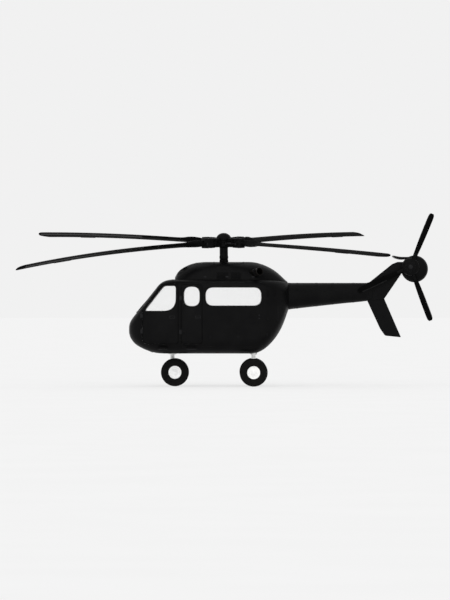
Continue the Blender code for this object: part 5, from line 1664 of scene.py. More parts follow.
def build_tail_rotor():
    centre = spot(TAIL_AXIS_STATION, 0, TAIL_AXIS_Z)
    build_tail_hub(centre)
    table, cuffs = smooth_table(TAIL_BLADE, 0.05), []
    edge = [row for row in table if 0.8 < row[0] < 1.72]
    for number, azimuth in enumerate(TAIL_AZIMUTHS, start=1):
        frame_ = (Matrix.Translation(centre + Vector((0, TAIL_ROTOR_Y, 0)))
                  @ Matrix.Rotation(-radians(azimuth), 4, "Y") @ Matrix.Rotation(pi / 2, 4, "X"))
        name = f"tail_blade_{number}"
        blade = moved(tail_blade_loft(table), frame_)
        piece(blade, f"{name}_skin", "tail_rotor", BLADES, name, angle=50)
        strip = moved(tail_blade_loft(edge, nose_strip(3, 0.001)), frame_)
        piece(strip, f"{name}_edge_strip", "tail_rotor", EROSION, angle=50)
        cuff = rod((0.24, 0, 0), (0.46, 0, 0), 0.058, 0.048, 32, rounded=0.008)
        ring = ring_of(0.056, 0.008, (0.34, 0, 0), (1, 0, 0), 40)
        cuffs.append(moved(merge(cuff, ring), frame_ @ Matrix.Diagonal((1, 1, 0.62, 1))))
    piece(merge(*cuffs), "tail_blade_cuffs", "tail_rotor", ROTOR)


build_tail()
build_tail_rotor()


# Wheels and legs

BEAD_RADIUS = 0.2015
WALL_CURVE = (                           # radius, and place across as a share of the half-width
    (BEAD_RADIUS + 0.004, 0.86), (0.255, 0.955), (0.340, 1.0), (0.405, 0.90), (TYRE_RADIUS * 0.985, 0.66),
    (TYRE_RADIUS, 0.52),
)
BEAD = ((RIM_RADIUS + SEAM, 0.60), (RIM_RADIUS + SEAM, 0.785), (BEAD_RADIUS, 0.785), (BEAD_RADIUS, 0.84))
TREAD_GROOVES = (0.42, 0.14, -0.14, -0.42)               # places across, as shares of the half-width
GROOVE_HALF_WIDTH, GROOVE_DEPTH = 0.0045, 0.008
WALL_RIBS = ((0.300, 0.985), (0.372, 0.965))             # radius, and place across
RIM = (                                  # bore, boss, dish, flange, flange, dish and bore again
    (BORE_RADIUS, 0.95), (0.070, 0.95), (0.075, 0.92), (0.083, 0.74), (0.092, 0.70),
    (RIM_RADIUS * 0.82, 0.62), (RIM_RADIUS * 0.88, 0.64), (RIM_RADIUS * 0.93, 0.77),
    (RIM_RADIUS * 0.95, 0.78), (RIM_RADIUS, 0.78), (RIM_RADIUS, -0.78), (RIM_RADIUS * 0.93, -0.78),
    (RIM_RADIUS * 0.86, -0.40), (0.085, -0.50), (0.075, -0.80), (BORE_RADIUS, -0.80),
)
HUB_CAP = (
    (0.0, 0.004), (0.050, 0.004), (0.052, 0.008), (0.050, 0.016),
    (0.040, 0.024), (0.022, 0.029), (0.0, 0.030),
)
WASHER = ((0.0, -0.002), (0.018, -0.002), (0.018, 0.0015), (0.0, 0.0015))
BRAKE = ((0.040, 0.012), (0.125, 0.012), (0.132, 0.020), (0.132, 0.044), (0.125, 0.050), (0.040, 0.050))
BRAKE_PIPE = (                           # aft, outwards and up from the leg on the ground
    (0.02, 0.075, 0.555), (0.035, 0.080, 0.62), (0.030, 0.074, 0.74),
    (0.012, 0.074, 0.90), (0.010, 0.072, 1.00),
)
AXLE_RADIUS = BORE_RADIUS - 0.0006
FOOT_Z = 1.0                             # underside of the blocks that carry the legs


def tyre_outline(half):
    """(radius, across) round a tyre: bead over the rim's edge, curved wall and grooved tread."""
    wall = smooth_path([(radius, half * share, 0) for radius, share in WALL_CURVE], 5)
    outer = [*[(radius, half * share) for radius, share in BEAD], *[(p.x, p.y) for p in wall]]
    tread = []
    floor, narrow = TYRE_RADIUS - GROOVE_DEPTH, GROOVE_HALF_WIDTH * 0.6
    for share in TREAD_GROOVES:
        middle = share * half
        tread += [(TYRE_RADIUS, middle + GROOVE_HALF_WIDTH), (floor, middle + narrow),
                  (floor, middle - narrow), (TYRE_RADIUS, middle - GROOVE_HALF_WIDTH)]
    return [*outer, *tread, *[(r, -y) for r, y in reversed(outer)]]


def build_wheel(centre, width, side, word, body):
    """Tyre, rim, and the nuts, cap and valve on the rim's outer face."""
    centre, half, out = Vector(centre), width / 2, Vector((0, side, 0))
    tyre = turned(tyre_outline(half), centre, out, 96, closed=True)
    ribs = [ring_of(radius, 0.0025, centre + out * half * share, out, 96, 8) for radius, share in WALL_RIBS]
    piece(merge(tyre, *ribs), f"{word}_tyre_body", body, TYRE, f"{word}_tyre", angle=40)
    outline = [(radius, half * share) for radius, share in RIM]
    rim = bevel(turned(outline, centre, out, 96, closed=True), 0.002, 2, 30)
    piece(rim, f"{word}_rim_dish", body, PALE, f"{word}_rim", angle=40)
    face, boss = half * 0.652, half * 0.95
    places = round_spots(centre + out * face, out, 0.140, 8)
    washers = [turned(WASHER, point, out, 20) for point, _ in places]
    cap = turned(HUB_CAP, centre + out * (boss - 0.004), out)
    screws = studs(round_spots(centre + out * (boss + 0.0135), out, 0.044, 6), 0.004, 0.002)
    valve = rod(centre + Vector((0, side * face, 0.165)), centre + Vector((0, side * (face + 0.022), 0.163)),
                0.006, segments=16, rounded=0.0015)
    nuts = studs(places, 0.012, 0.010, 6)
    piece(merge(nuts, *washers, cap, screws, valve), f"{word}_wheel_nuts", body, PALE)


def cross_pin(middle, half, radius, segments=24):
    """A round bar across the machine."""
    shift = Vector((0, half, 0))
    return rod(middle - shift, middle + shift, radius, segments=segments, rounded=0.003)


def torque_link(low, middle, high, body, name):
    """Two arms that meet at a pin, each a pair of tapered bars, between points in the plane of the leg."""
    low, middle, high = Vector(low), Vector(middle), Vector(high)
    shapes = []
    for end in (low, high):
        for across in span(0, 0.030):
            foot, tip = end + Vector((0, across, 0)), middle + Vector((0, across * 0.45, 0))
            shapes.append(rod(foot, tip, 0.014, 0.010, 20))
        shapes.append(cross_pin(end, 0.040, 0.017))
    shapes.append(cross_pin(middle, 0.028, 0.014))
    piece(merge(*shapes), name, body, PALE)


def collars(x, y, places):
    """Low rings round an upright leg: (height, radius, half-length) of each."""
    rings = []
    for z, r, half in places:
        inner, edge = r - 0.003, half - 0.003
        profile = ((0.0, -half), (inner, -half), (r, -edge), (r, edge), (inner, half), (0.0, half))
        rings.append(turned(profile, (x, y, z), UP))
    return rings


def build_nose_gear():
    """Leg with its block and collars, the piston with knuckle and axle, and the twin wheels."""
    station = NOSE_WHEEL_STATION - NOSE_TRAIL
    x, wheel_x, top = at(station), at(NOSE_WHEEL_STATION), between_rows(HULL, station)[1] + 0.1
    leg = rod((x, 0, NOSE_COLLAR_Z), (x, 0, top), NOSE_LEG_RADIUS, segments=64, rounded=0.004)
    join(leg, box((x - 0.13, -0.11, FOOT_Z), (x + 0.13, 0.11, top), 0.012, 3),
         *collars(x, 0, ((NOSE_COLLAR_Z + 0.03, 0.072, 0.022), (0.90, 0.069, 0.010))))
    piece(cut(leg, hull_solid(-SEAM)), "nose_leg_cylinder", "airframe", PALE, "nose_leg", angle=40)
    bolts = [((x + a, b, FOOT_Z), (0, 0, -1)) for a in span(0, 0.105) for b in span(0, 0.085)]
    lugs = [rod((x, side * 0.060, 0.78), (x, side * 0.098, 0.78), 0.018, 0.014, 24, 0.003)
            for side, _ in SIDES]
    piece(merge(studs(bolts, 0.012, 0.010, 6), *lugs), "nose_leg_bolts", "airframe", PALE)
    low, high = TYRE_RADIUS - 0.05, NOSE_COLLAR_Z - SEAM
    piston = rod((x, 0, low), (x, 0, high), NOSE_PISTON_RADIUS, segments=64)
    low, high = span(TYRE_RADIUS, 0.06)
    knuckle = box((x - 0.055, -0.055, low), (wheel_x + 0.055, 0.055, high), 0.018, 4)
    reach = NOSE_WHEEL_Y + NOSE_TYRE_WIDTH * 0.40
    axle = cross_pin(Vector((wheel_x, 0, TYRE_RADIUS)), reach, AXLE_RADIUS, 64)
    join(piston, knuckle, axle, *collars(x, 0, ((NOSE_COLLAR_Z - 0.030, 0.058, 0.014),)))
    piece(piston, "nose_piston_and_knuckle", "nose_steer", STEEL, "nose_piston", angle=40)
    torque_link((x - 0.060, 0, 0.510), (x - 0.150, 0, 0.592), (x - 0.062, 0, NOSE_COLLAR_Z - 0.030),
                "nose_steer", "nose_torque_link")
    for side, word in SIDES:
        centre = (wheel_x, side * NOSE_WHEEL_Y, TYRE_RADIUS)
        build_wheel(centre, NOSE_TYRE_WIDTH, side, f"nose_{word}", "nose_wheels")


def build_main_leg(side, word, x, y):
    """Strut with its stay, block, axle and collars, and the bright sleeve."""
    leg = rod((x, y, TYRE_RADIUS - 0.07), (x, y, 1.35), MAIN_LEG_RADIUS, segments=64, rounded=0.010)
    tip = side * (MAIN_WHEEL_Y + MAIN_TYRE_WIDTH * 0.40)
    join(leg, rod((x, y - side * 0.01, 0.62), (x, side * 0.24, 1.14), 0.028),
         box((x - 0.11, side * 0.19, FOOT_Z), (x + 0.11, side * 0.40, 1.16), 0.012, 3),
         rod((x, y - side * 0.03, TYRE_RADIUS), (x, tip, TYRE_RADIUS), AXLE_RADIUS, None, 64, 0.003),
         *collars(x, y, ((0.66, 0.070, 0.022), (0.86, 0.066, 0.010), (0.99, 0.072, 0.016))))
    leg = cut(leg, hull_solid(-SEAM))
    piece(leg, f"main_leg_strut_{word}", "airframe", PALE, f"main_leg_{word}", angle=40)
    inner, outer, half = MAIN_LEG_RADIUS - 0.004, MAIN_LEG_RADIUS + 0.0015, 0.055
    sleeve = turned(((inner, -half), (outer, -half), (outer, half), (inner, half)), (x, y, 0.580), UP, 64,
                    closed=True)
    piece(sleeve, f"main_leg_sleeve_{word}", "airframe", STEEL)


def build_brake(side, word, x, y):
    """Brake with its cylinders, the bolts above it, and the pipe up the leg."""
    out = Vector((0, side, 0))
    brake = turned(BRAKE, (x, y + side * 0.055, TYRE_RADIUS), out, 64, closed=True)
    cylinders = [rod(point, point + out * 0.016, 0.020, 0.017, 24, 0.003)
                 for point, _ in round_spots((x, y + side * 0.052, TYRE_RADIUS), out, 0.098, 6, 0.3)]
    piece(merge(brake, *cylinders), f"main_brake_{word}", "airframe", DARK)
    bolts = [((x + a, side * b, FOOT_Z), (0, 0, -1)) for a in span(0, 0.085) for b in (0.215, 0.375)]
    piece(studs(bolts, 0.012, 0.010, 6), f"main_leg_bolts_{word}", "airframe", PALE)
    torque_link((x + 0.066, y, 0.470), (x + 0.150, y, 0.575), (x + 0.070, y, 0.66), "airframe",
                f"main_torque_link_{word}")
    pipe = tube(bent(BRAKE_PIPE, 6, (MAIN_WHEEL_STATION, y, 0), side), 0.006)
    piece(pipe, f"main_brake_pipe_{word}", "airframe", PALE)


def build_main_gear():
    x = at(MAIN_WHEEL_STATION)
    for side, word in SIDES:
        build_main_leg(side, word, x, side * MAIN_LEG_Y)
        build_brake(side, word, x, side * MAIN_LEG_Y)
        centre = (x, side * MAIN_WHEEL_Y, TYRE_RADIUS)
        build_wheel(centre, MAIN_TYRE_WIDTH, side, f"main_{word}", f"main_wheel_{word}")


build_nose_gear()
build_main_gear()


# Seats and their belts

PAD_VOXEL, PAD_STEPS, PAD_PRESSURE, PAD_SWELL, BENCH_SWELL = 0.016, 20, 4.0, 0.012, 0.014
PAD_PULL, PAD_CROWN, CHANNEL_DEPTH, CHANNEL_WIDTH = 0.012, 0.010, 0.011, 0.011
PIPING_RADIUS, BELT_WIDTH, BELT_THICK = 0.0055, 0.045, 0.003
FLAT = Matrix.Identity(4)
UPRIGHT = Matrix(((0, 0, -1, 0), (0, 1, 0, 0), (1, 0, 0, 0), (0, 0, 0, 1)))      # turned to face the nose
SEAT_STATIONS = span(SEAT_STATION, SEAT_DEPTH / 2)
SHOULDER_BELT = (                        # aft of the seat's rear, across from its middle, and height
    (-0.02, 0.07, SEAT_BACK_TOP + 0.003), (-0.075, 0.07, SEAT_BACK_TOP - 0.002), (-0.103, 0.072, 2.22),
    (-0.113, 0.066, 1.98), (-0.121, 0.045, 1.80),
)
LAP_BELT = (                             # the same, with heights from the top of the cushion
    (-0.12, SEAT_WIDTH / 2 - 0.006, -0.03), (-0.14, 0.20, 0.012),
    (-0.145, 0.12, 0.016), (-0.15, 0.035, 0.018),
)
BENCH_BELT = ((-0.125, 0.235, -0.03), (-0.15, 0.20, 0.004), (-0.165, 0.12, 0.008), (-0.17, 0.03, 0.010))
BENCH_PLACES = (-0.558, 0.0, 0.558)


def blow_up(pad, swell):
    """Swells a mesh by cloth pressure, no point further than swell."""
    before = [vertex.co.copy() for vertex in pad.data.vertices]
    cloth = pad.modifiers.new("cloth", "CLOTH")
    cloth.settings.use_pressure = True
    cloth.settings.uniform_pressure_force = PAD_PRESSURE
    cloth.settings.effector_weights.gravity = 0.0
    cloth.point_cache.frame_start = 1
    cloth.point_cache.frame_end = PAD_STEPS
    for step in range(1, PAD_STEPS + 1):
        bpy.context.scene.frame_set(step)
    bake(pad)
    for vertex, start in zip(pad.data.vertices, before):
        shift = vertex.co - start
        if shift.length > swell:
            vertex.co = start + shift.normalized() * swell
    bpy.context.scene.frame_set(1)


def sewn(pad, length, width, height, channels):
    """Pulls the sides of a pad in, gives it a crown and sews channels across its top."""
    for vertex in pad.data.vertices:
        x, y, z = vertex.co
        along, across = 1 - (x / length) ** 2, 1 - (y / width) ** 2
        if z > 0:
            z += PAD_CROWN * max(0.0, along) * max(0.0, across)
            z -= sum(CHANNEL_DEPTH * exp(-((x - channel) / CHANNEL_WIDTH) ** 2) for channel in channels)
        x -= PAD_PULL * across * (x / length) * abs(x / length)
        y -= PAD_PULL * along * (y / width) * abs(y / width)
        vertex.co = (x, y, max(-height, min(z, height)))
    return pad


def blown_pad(size, channels, swell):
    """A cushion lying about the origin, blown up by cloth simulation."""
    length, width, height = [value / 2 for value in size]
    room = swell * 0.8
    corner = Vector((length - room, width - room, height - room))
    pad = box(-corner, corner, height * 0.7, 3)
    remesh = pad.modifiers.new("remesh", "REMESH")
    remesh.mode = "VOXEL"
    remesh.voxel_size = PAD_VOXEL
    bake(pad)
    blow_up(pad, swell)
    smooth = pad.modifiers.new("smooth", "SUBSURF")
    smooth.levels = 1
    return sewn(bake(pad), length, width, height, channels)


def pad_piping(pad):
    """A sewn cord round the middle of a cushion's edge."""
    bpy.context.view_layer.update()
    points = []
    for x, y in circle(72):
        out = Vector((x, y, 0))
        hit, point, _, _ = pad.ray_cast(out * 2, -out)
        if hit:
            points.append(point)
    return tube(points, PIPING_RADIUS, 10, closed=True)


def set_pads(pad, turn, places):
    """Copies a made cushion and its piping to places of (name, point, replaced nodes)."""
    piping = pad_piping(pad)
    for name, point, *replaced in places:
        frame_ = Matrix.Translation(point) @ turn
        made = piece(moved(copy_of(pad), frame_), name, "airframe", FABRIC, *replaced, angle=80)
        piece(moved(copy_of(piping), frame_), f"{name}_piping", "airframe", LEATHER)
    remove(pad, piping)


def strap(path, across):
    """Flat webbing along a path, its width along across."""
    across = Vector(across)
    rings = []
    for k, point in enumerate(path):
        along = (path[min(k + 1, len(path) - 1)] - path[max(k - 1, 0)]).normalized()
        face = along.cross(across).normalized() * BELT_THICK / 2
        edge = across * BELT_WIDTH / 2
        rings.append([point - edge - face, point + edge - face, point + edge + face, point - edge + face])
    return loft(rings)


def belts(points, start, across):
    """A belt and its mirror image on both sides of a seat's middle."""
    return [strap(bent(points, 6, start, side), across) for side, _ in SIDES]


def build_seat_shell(word, y):
    front, rear = SEAT_STATIONS
    half, low = SEAT_WIDTH / 2, SEAT_CUSHION_Z - 0.11
    inside = span(y, half - 0.005)
    shapes = [block((rear - 0.018, rear), inside, (low, SEAT_BACK_TOP), 0.008, 3),
              block((front, rear), inside, (low, SEAT_CUSHION_Z - 0.083), 0.008, 3)]
    for edge, _ in SIDES:
        wing = (y + edge * (half - 0.012), y + edge * half)
        shapes.append(block((rear - 0.075, rear - 0.005), wing, (SEAT_CUSHION_Z - 0.10, 2.14), 0.005))
    piece(merge(*shapes), f"pilot_seat_shell_{word}", "airframe", PANEL)


def build_seat_frame(word, y):
    """Rails, leaning legs with their feet, and the bars between them."""
    front, rear = SEAT_STATIONS
    legs = ((front + 0.09, 0.03), (rear - 0.07, -0.03))  # station of the top, and the foot's shift
    rail_z, foot_z = (FLOOR_TOP + 0.001, FLOOR_TOP + 0.022), (FLOOR_TOP + 0.020, FLOOR_TOP + 0.048)
    shapes = []
    for rail_y in span(y, 0.15):
        shapes.append(block((front + 0.02, rear + 0.04), span(rail_y, 0.018), rail_z, 0.004))
        for station, lean in legs:
            foot = spot(station + lean, rail_y, FLOOR_TOP + 0.02)
            shapes.append(rod(foot, spot(station, rail_y, SEAT_CUSHION_Z - 0.10), 0.014, segments=24))
            shapes.append(block(span(station + lean, 0.03), span(rail_y, 0.020), foot_z, 0.006))
    for station, _ in legs:
        ends = [spot(station, place, 1.54) for place in span(y, 0.15)]
        shapes.append(rod(*ends, 0.010, segments=20))
    piece(merge(*shapes), f"pilot_seat_frame_{word}", "airframe", DARK)


def build_harness(word, y):
    rear, seat = SEAT_STATIONS[1], SEAT_CUSHION_Z + 0.004
    webbing = belts(SHOULDER_BELT, (rear, y, 0), (0, 1, 0)) + belts(LAP_BELT, (rear, y, seat), (1, 0, 0))
    piece(merge(*webbing), f"pilot_harness_{word}", "airframe", WEBBING)
    low, high = [spot(rear - 0.15, y, seat + up) for up in (0.014, 0.034)]
    shapes = [rod(low, high, 0.034, segments=40, rounded=0.005)]
    for place in span(y, 0.05):
        shapes.append(block((rear - 0.150, rear - 0.112), span(place, 0.026), (1.785, 1.80), 0.003))
    piece(merge(*shapes), f"pilot_harness_buckle_{word}", "airframe", DARK)


def build_pilot_seats():
    front, rear = SEAT_STATIONS
    seat, back = [], []
    for side, word in SIDES:
        y = side * SEAT_Y
        seat.append((f"pilot_seat_cushion_{word}", spot(front + 0.205, y, SEAT_CUSHION_Z - 0.042),
                     f"pilot_seat_{word}"))
        back.append((f"pilot_seat_back_{word}", spot(rear - 0.055, y, SEAT_CUSHION_Z + 0.335)))
    set_pads(blown_pad((0.40, 0.44, 0.080), (-0.10, 0.02), PAD_SWELL), FLAT, seat)
    set_pads(blown_pad((0.60, 0.43, 0.074), (-0.16, 0.0, 0.16), PAD_SWELL), UPRIGHT, back)
    for side, word in SIDES:
        y = side * SEAT_Y
        build_seat_shell(word, y)
        build_seat_frame(word, y)
        build_harness(word, y)
        build_controls(word, y, y - side * 0.285)


def build_bench():
    front, rear = BENCH_STATIONS
    across = span(0, BENCH_HALF_WIDTH)
    base = join(block((front + 0.03, rear), across, (FLOOR_TOP + SEAM, BENCH_TOP - 0.11), 0.012, 3),
                block((rear - 0.025, rear), across, (BENCH_TOP - 0.15, BENCH_BACK_TOP), 0.010, 3))
    piece(common(base, hull_solid(WALL + 2 * SEAM)), "bench_base", "airframe", LINING, angle=40)
    seat = [(f"bench_cushion_{k}", spot(front + 0.176, y, BENCH_TOP - 0.055))
            for k, y in enumerate(BENCH_PLACES, start=1)]
    back = [(f"bench_back_{k}", spot(rear - 0.072, y, BENCH_TOP + 0.345))
            for k, y in enumerate(BENCH_PLACES, start=1)]
    seat[0] += ("cabin_bench",)
    set_pads(blown_pad((0.35, 0.545, 0.110), (0.0,), BENCH_SWELL), FLAT, seat)
    set_pads(blown_pad((0.66, 0.545, 0.088), (-0.17, 0.0, 0.17), BENCH_SWELL), UPRIGHT, back)
    webbing, buckles = [], []
    top = BENCH_TOP + 0.006
    for y in BENCH_PLACES:
        webbing += belts(BENCH_BELT, (rear, y, top), (1, 0, 0))
        buckles.append(block(span(rear - 0.170, 0.028), span(y, 0.038), (top + 0.007, top + 0.022), 0.005, 3))
    piece(merge(*webbing), "bench_belts", "airframe", WEBBING)
    piece(merge(*buckles), "bench_belt_buckles", "airframe", STEEL)


# Controls and instruments

LEVER_FLOOR = FLOOR_TOP + 0.001
CYCLIC = ((-2.02, 0, LEVER_FLOOR + 0.03), (-2.04, 0, 1.50), (-2.08, 0, 1.70), (-2.02, 0, 1.84))
CYCLIC_GRIP = ((-2.026, 0, 1.83), (-2.018, 0, 1.88), (-2.026, 0, 1.93), (-2.04, 0, 1.955))
COLLECTIVE = ((-1.46, 0, LEVER_FLOOR + 0.03), (-1.50, 0, 1.44), (-1.66, 0, 1.60), (-1.80, 0, 1.70))
PEDAL_ARM = ((-2.30, 0, LEVER_FLOOR), (-2.33, 0, 1.40), (-2.30, 0, 1.50))
DISPLAYS_Y = (-0.46, -0.25, 0.25, 0.46)
DIALS = (                                # place across, height and radius
    (0.0, 2.190, 0.042), (0.0, 2.090, 0.042),
    (-0.075, 1.985, 0.030), (0.0, 1.985, 0.030), (0.075, 1.985, 0.030),
)
PEDESTAL_KNOB_Z, SWITCH_Z = 1.619, 3.166


def cyclic_boot(y):
    """Folded rubber boot round the foot of the stick."""
    folds = [(0.0, 0.0)]
    for k in range(5):
        folds += [(0.070 - 0.010 * k, 0.016 * k), (0.058 - 0.009 * k, 0.016 * k + 0.009)]
    return turned([*folds, (0.014, 0.082), (0.0, 0.082)], spot(-2.02, y, LEVER_FLOOR), UP, 40)


def build_controls(word, y, lever_y):
    """Cyclic stick with its boot and grip, collective lever and pedals at one seat."""
    cyclic = tube(bent(CYCLIC, 6, (0, y, 0)), 0.013, 16)
    collective = tube(bent(COLLECTIVE, 6, (0, lever_y, 0)), 0.013, 16)
    slot = block((-1.52, -1.40), span(lever_y, 0.03), (LEVER_FLOOR, LEVER_FLOOR + 0.035), 0.008)
    piece(merge(cyclic, collective, slot), f"pilot_levers_{word}", "airframe", DARK)
    grip = tube(bent(CYCLIC_GRIP, 5, (0, y, 0)), 0.021, 20)
    buttons = [rod(spot(-2.045, place, 1.935), spot(-2.052, place, 1.962), 0.005, segments=12)
               for place in span(y, 0.010)]
    twist = rod(spot(-1.79, lever_y, 1.693), spot(-1.90, lever_y, 1.772), 0.020, rounded=0.004)
    head = block((-1.945, -1.885), span(lever_y, 0.030), (1.765, 1.805), 0.010, 3)
    piece(merge(grip, *buttons, cyclic_boot(y), twist, head), f"pilot_grips_{word}", "airframe", SEAL)
    pedals = []
    for pedal_y in span(y, 0.11):
        pedals.append(tube(bent(PEDAL_ARM, 5, (0, pedal_y, 0)), 0.010))
        plate = [box((-0.006, -0.055, -0.075), (0.006, 0.055, 0.075), 0.004)]
        for k in range(5):
            low = -0.055 + 0.025 * k
            plate.append(box((0.004, -0.048, low), (0.011, 0.048, low + 0.008), 0.002))
        turn = Matrix.Translation(spot(-2.295, pedal_y, 1.50)) @ Matrix.Rotation(radians(-24), 4, "Y")
        pedals.append(moved(merge(*plate), turn))
    piece(merge(*pedals), f"pilot_pedals_{word}", "airframe", DARK)


def build_panel_body():
    """Panel with its pedestal, as the CAD part has it, and the hood above."""
    front, rear = PANEL_STATIONS
    low, high = PANEL_Z
    across = span(0, PANEL_HALF_WIDTH)
    body = join(block((front, rear), across, PANEL_Z, 0.03, 4),
                block((front + 0.1, rear - 0.02), span(0, 0.11), (FLOOR_TOP + SEAM, low + 0.05), 0.008))
    body = common(body, hull_solid(WALL + 2 * SEAM))
    piece(body, "instrument_panel_body", "airframe", PANEL, "instrument_panel", angle=40)
    hood = block((rear - 0.03, rear + 0.055), across, (high - 0.022, high + 0.004), 0.010, 3)
    piece(hood, "instrument_hood", "airframe", SEAL)


def add_displays(rear, parts):
    """Screens with a row of keys under each."""
    for y in DISPLAYS_Y:
        parts["bezels"].append(block((rear - 0.004, rear + 0.010), span(y, 0.095), (1.960, 2.235), 0.006, 3))
        parts["screens"].append(block((rear + 0.004, rear + 0.0115), span(y, 0.078), (2.000, 2.218), 0.002))
        for k in range(5):
            key_y, line_z, left = y - 0.064 + 0.032 * k, 2.03 + 0.034 * k, y - 0.06
            key = block((rear + 0.006, rear + 0.015), span(key_y, 0.006), (1.972, 1.984), 0.002)
            parts["knobs"].append(key)
            line = (left, left + 0.02 * (k % 3 + 2))
            parts["marks"].append(block((rear + 0.0112, rear + 0.0120), line, (line_z, line_z + 0.003)))


def add_dials(rear, parts):
    """Round dials with marks and a needle."""
    for y, z, r in DIALS:
        centre = spot(rear, y, z)
        rim = ((r * 0.88, -0.003), (r * 1.12, -0.003), (r * 1.12, 0.010), (r, 0.013), (r * 0.88, 0.010))
        parts["bezels"].append(turned(rim, centre, (1, 0, 0), 40, closed=True))
        back, front = [centre + Vector((out, 0, 0)) for out in (-0.002, 0.006)]
        parts["dials"].append(rod(back, front, r * 0.90, segments=40))
        half = Vector((0.0006, 0.0016, 0.0016))
        for point, _ in round_spots(centre + Vector((0.0062, 0, 0)), (1, 0, 0), r * 0.74, 12):
            parts["marks"].append(box(point - half, point + half))
        needle = box((-0.0006, -0.0018, -0.006), (0.0010, 0.0018, r * 0.66))
        turn = Matrix.Rotation(z * 11 + y * 30, 4, "X")
        parts["marks"].append(moved(needle, Matrix.Translation(centre + Vector((0.007, 0, 0))) @ turn))


def build_consoles(rear, knobs):
    """Console on the pedestal and the switch panel under the roof, with their knobs."""
    consoles = [
        block((rear - 0.02, rear + 0.30), span(0, 0.105), (FLOOR_TOP + SEAM, 1.62), 0.012, 3),
        block((-1.84, -1.44), span(0, 0.17), (3.165, 3.25), 0.015, 3),
        block((-1.80, -1.48), span(0, 0.10), (3.24, 3.272), 0.004),
    ]
    for row in range(5):
        station = rear + 0.045 + 0.052 * row
        for k in range(5):
            y, z = -0.078 + 0.039 * k, PEDESTAL_KNOB_Z
            if row % 2:
                knobs.append(rod(spot(station, y, z), spot(station, y, z + 0.018), 0.009, 0.008, 16, 0.002))
            else:
                knobs.append(block(span(station, 0.010), span(y, 0.011), (z, z + 0.007), 0.002))
    for row in range(7):
        for k in range(6):
            foot = spot(-1.795 + 0.052 * row, -0.125 + 0.050 * k, SWITCH_Z)
            lean = 0.008 if (row + k) % 3 else -0.008
            knobs.append(rod(foot, foot + Vector((lean, 0, -0.016)), 0.003, 0.004, 10))
    piece(merge(*consoles), "pilot_consoles", "airframe", PANEL)
    piece(merge(*knobs), "pilot_console_knobs", "airframe", SEAL)


def build_panel():
    rear = PANEL_STATIONS[1]
    parts = {"bezels": [], "screens": [], "dials": [], "marks": [], "knobs": []}
    build_panel_body()
    add_displays(rear, parts)
    add_dials(rear, parts)
    for name, material in (("bezels", DARK), ("screens", SCREEN), ("dials", DIAL), ("marks", MARK)):
        piece(merge(*parts[name]), f"instrument_{name}", "airframe", material)
    build_consoles(rear, parts["knobs"])


# Floor and outside fittings

TRACKS_Y, TIE_DOWN_STATIONS = (-0.62, -0.22, 0.22, 0.62), (-0.95, -0.45, 0.05, 0.55)
STEP_STATIONS, STEP_Z = (-1.00, -1.90), 1.205
STEP_ARM = ((0, -0.02, 0), (0, 0.05, -0.03), (0, 0.12, -0.04))
LAMP_STATION, LAMP_Y, LAMP_RADIUS = -2.30, 0.28, 0.085
POSITION_STATION, POSITION_Z, POSITION_RADIUS = -0.20, 1.040, 0.024
PORT_STATION, PORTS_Z = 1.10, (2.12, 2.22)
STATIC_PORT = (
    (0.004, -0.002), (0.022, -0.002), (0.022, 0.0015), (0.020, 0.0025), (0.005, 0.0025), (0.004, 0.0),
)
FUEL_CAP_PLACE = (0.34, 1.72)
FUEL_CAP = ((0.0, -0.004), (0.062, -0.004), (0.062, 0.003), (0.057, 0.006), (0.0, 0.006))


def build_floor_fittings():
    """Looks of three CAD pieces, the tracks and tie-down rings of the floor, and the door sills."""
    for name, look in (("cabin_floor", MAT), ("engine_block", DARK), ("main_gearbox", DARK)):
        for place in bpy.data.objects[name].material_slots:
            place.material = look
    floor, tracks, rings = FLOOR_TOP + SEAM, [], []
    for y in TRACKS_Y:
        tracks.append(block((-1.20, 0.84), span(y, 0.016), (floor, floor + 0.005), 0.0015, 1))
        for station in TIE_DOWN_STATIONS:
            plate, heights = span(y - 0.020, 0.006), (floor + 0.004, floor + 0.013)
            rings.append(ring_of(0.020, 0.0035, spot(station, y, floor + 0.0085), UP, 24, 8))
            rings.append(block(span(station, 0.008), plate, heights, 0.002))
    piece(merge(*tracks), "cabin_floor_tracks", "airframe", STEEL)
    piece(merge(*rings), "cabin_tie_down_rings", "airframe", DARK)
    sills = [block((-1.29, -0.70), span(side * 0.90, 0.03), (floor, floor + 0.006), 0.002)
             for side, _ in SIDES]
    piece(merge(*sills), "cabin_door_sills", "airframe", STEEL)


def build_steps(side, word):
    """Boarding steps on bent arms, with ribbed treads."""
    steps, treads = [], []
    for station in STEP_STATIONS:
        y = side * hull_y(station, STEP_Z)
        for place in span(station, 0.13):
            steps.append(tube(bent(STEP_ARM, 5, (place, y, STEP_Z), side), 0.011))
        across = (y + side * 0.045, y + side * 0.135)
        steps.append(block(span(station, 0.15), across, (STEP_Z - 0.052, STEP_Z - 0.030), 0.006))
        for k in range(5):
            across = span(y + side * (0.060 + 0.016 * k), 0.004)
            treads.append(block(span(station, 0.14), across, (STEP_Z - 0.031, STEP_Z - 0.027), 0.001, 1))
    piece(merge(*steps), f"boarding_steps_{word}", "airframe", DARK)
    piece(merge(*treads), f"boarding_step_treads_{word}", "airframe", SEAL)


def build_light(name, word, centre, normal, radius, lens):
    """A round lens and its rim."""
    profile = ((0.0, -0.02), (radius, -0.02), (radius, 0.002), (radius * 0.7, 0.006), (0.0, 0.008))
    piece(turned(profile, centre, normal), f"{name}_light_lens_{word}", "airframe", lens)
    rim = ring_of(radius + 0.004, 0.005, centre + normal * 0.001, normal, 48)
    piece(rim, f"{name}_light_rim_{word}", "airframe", DARK)


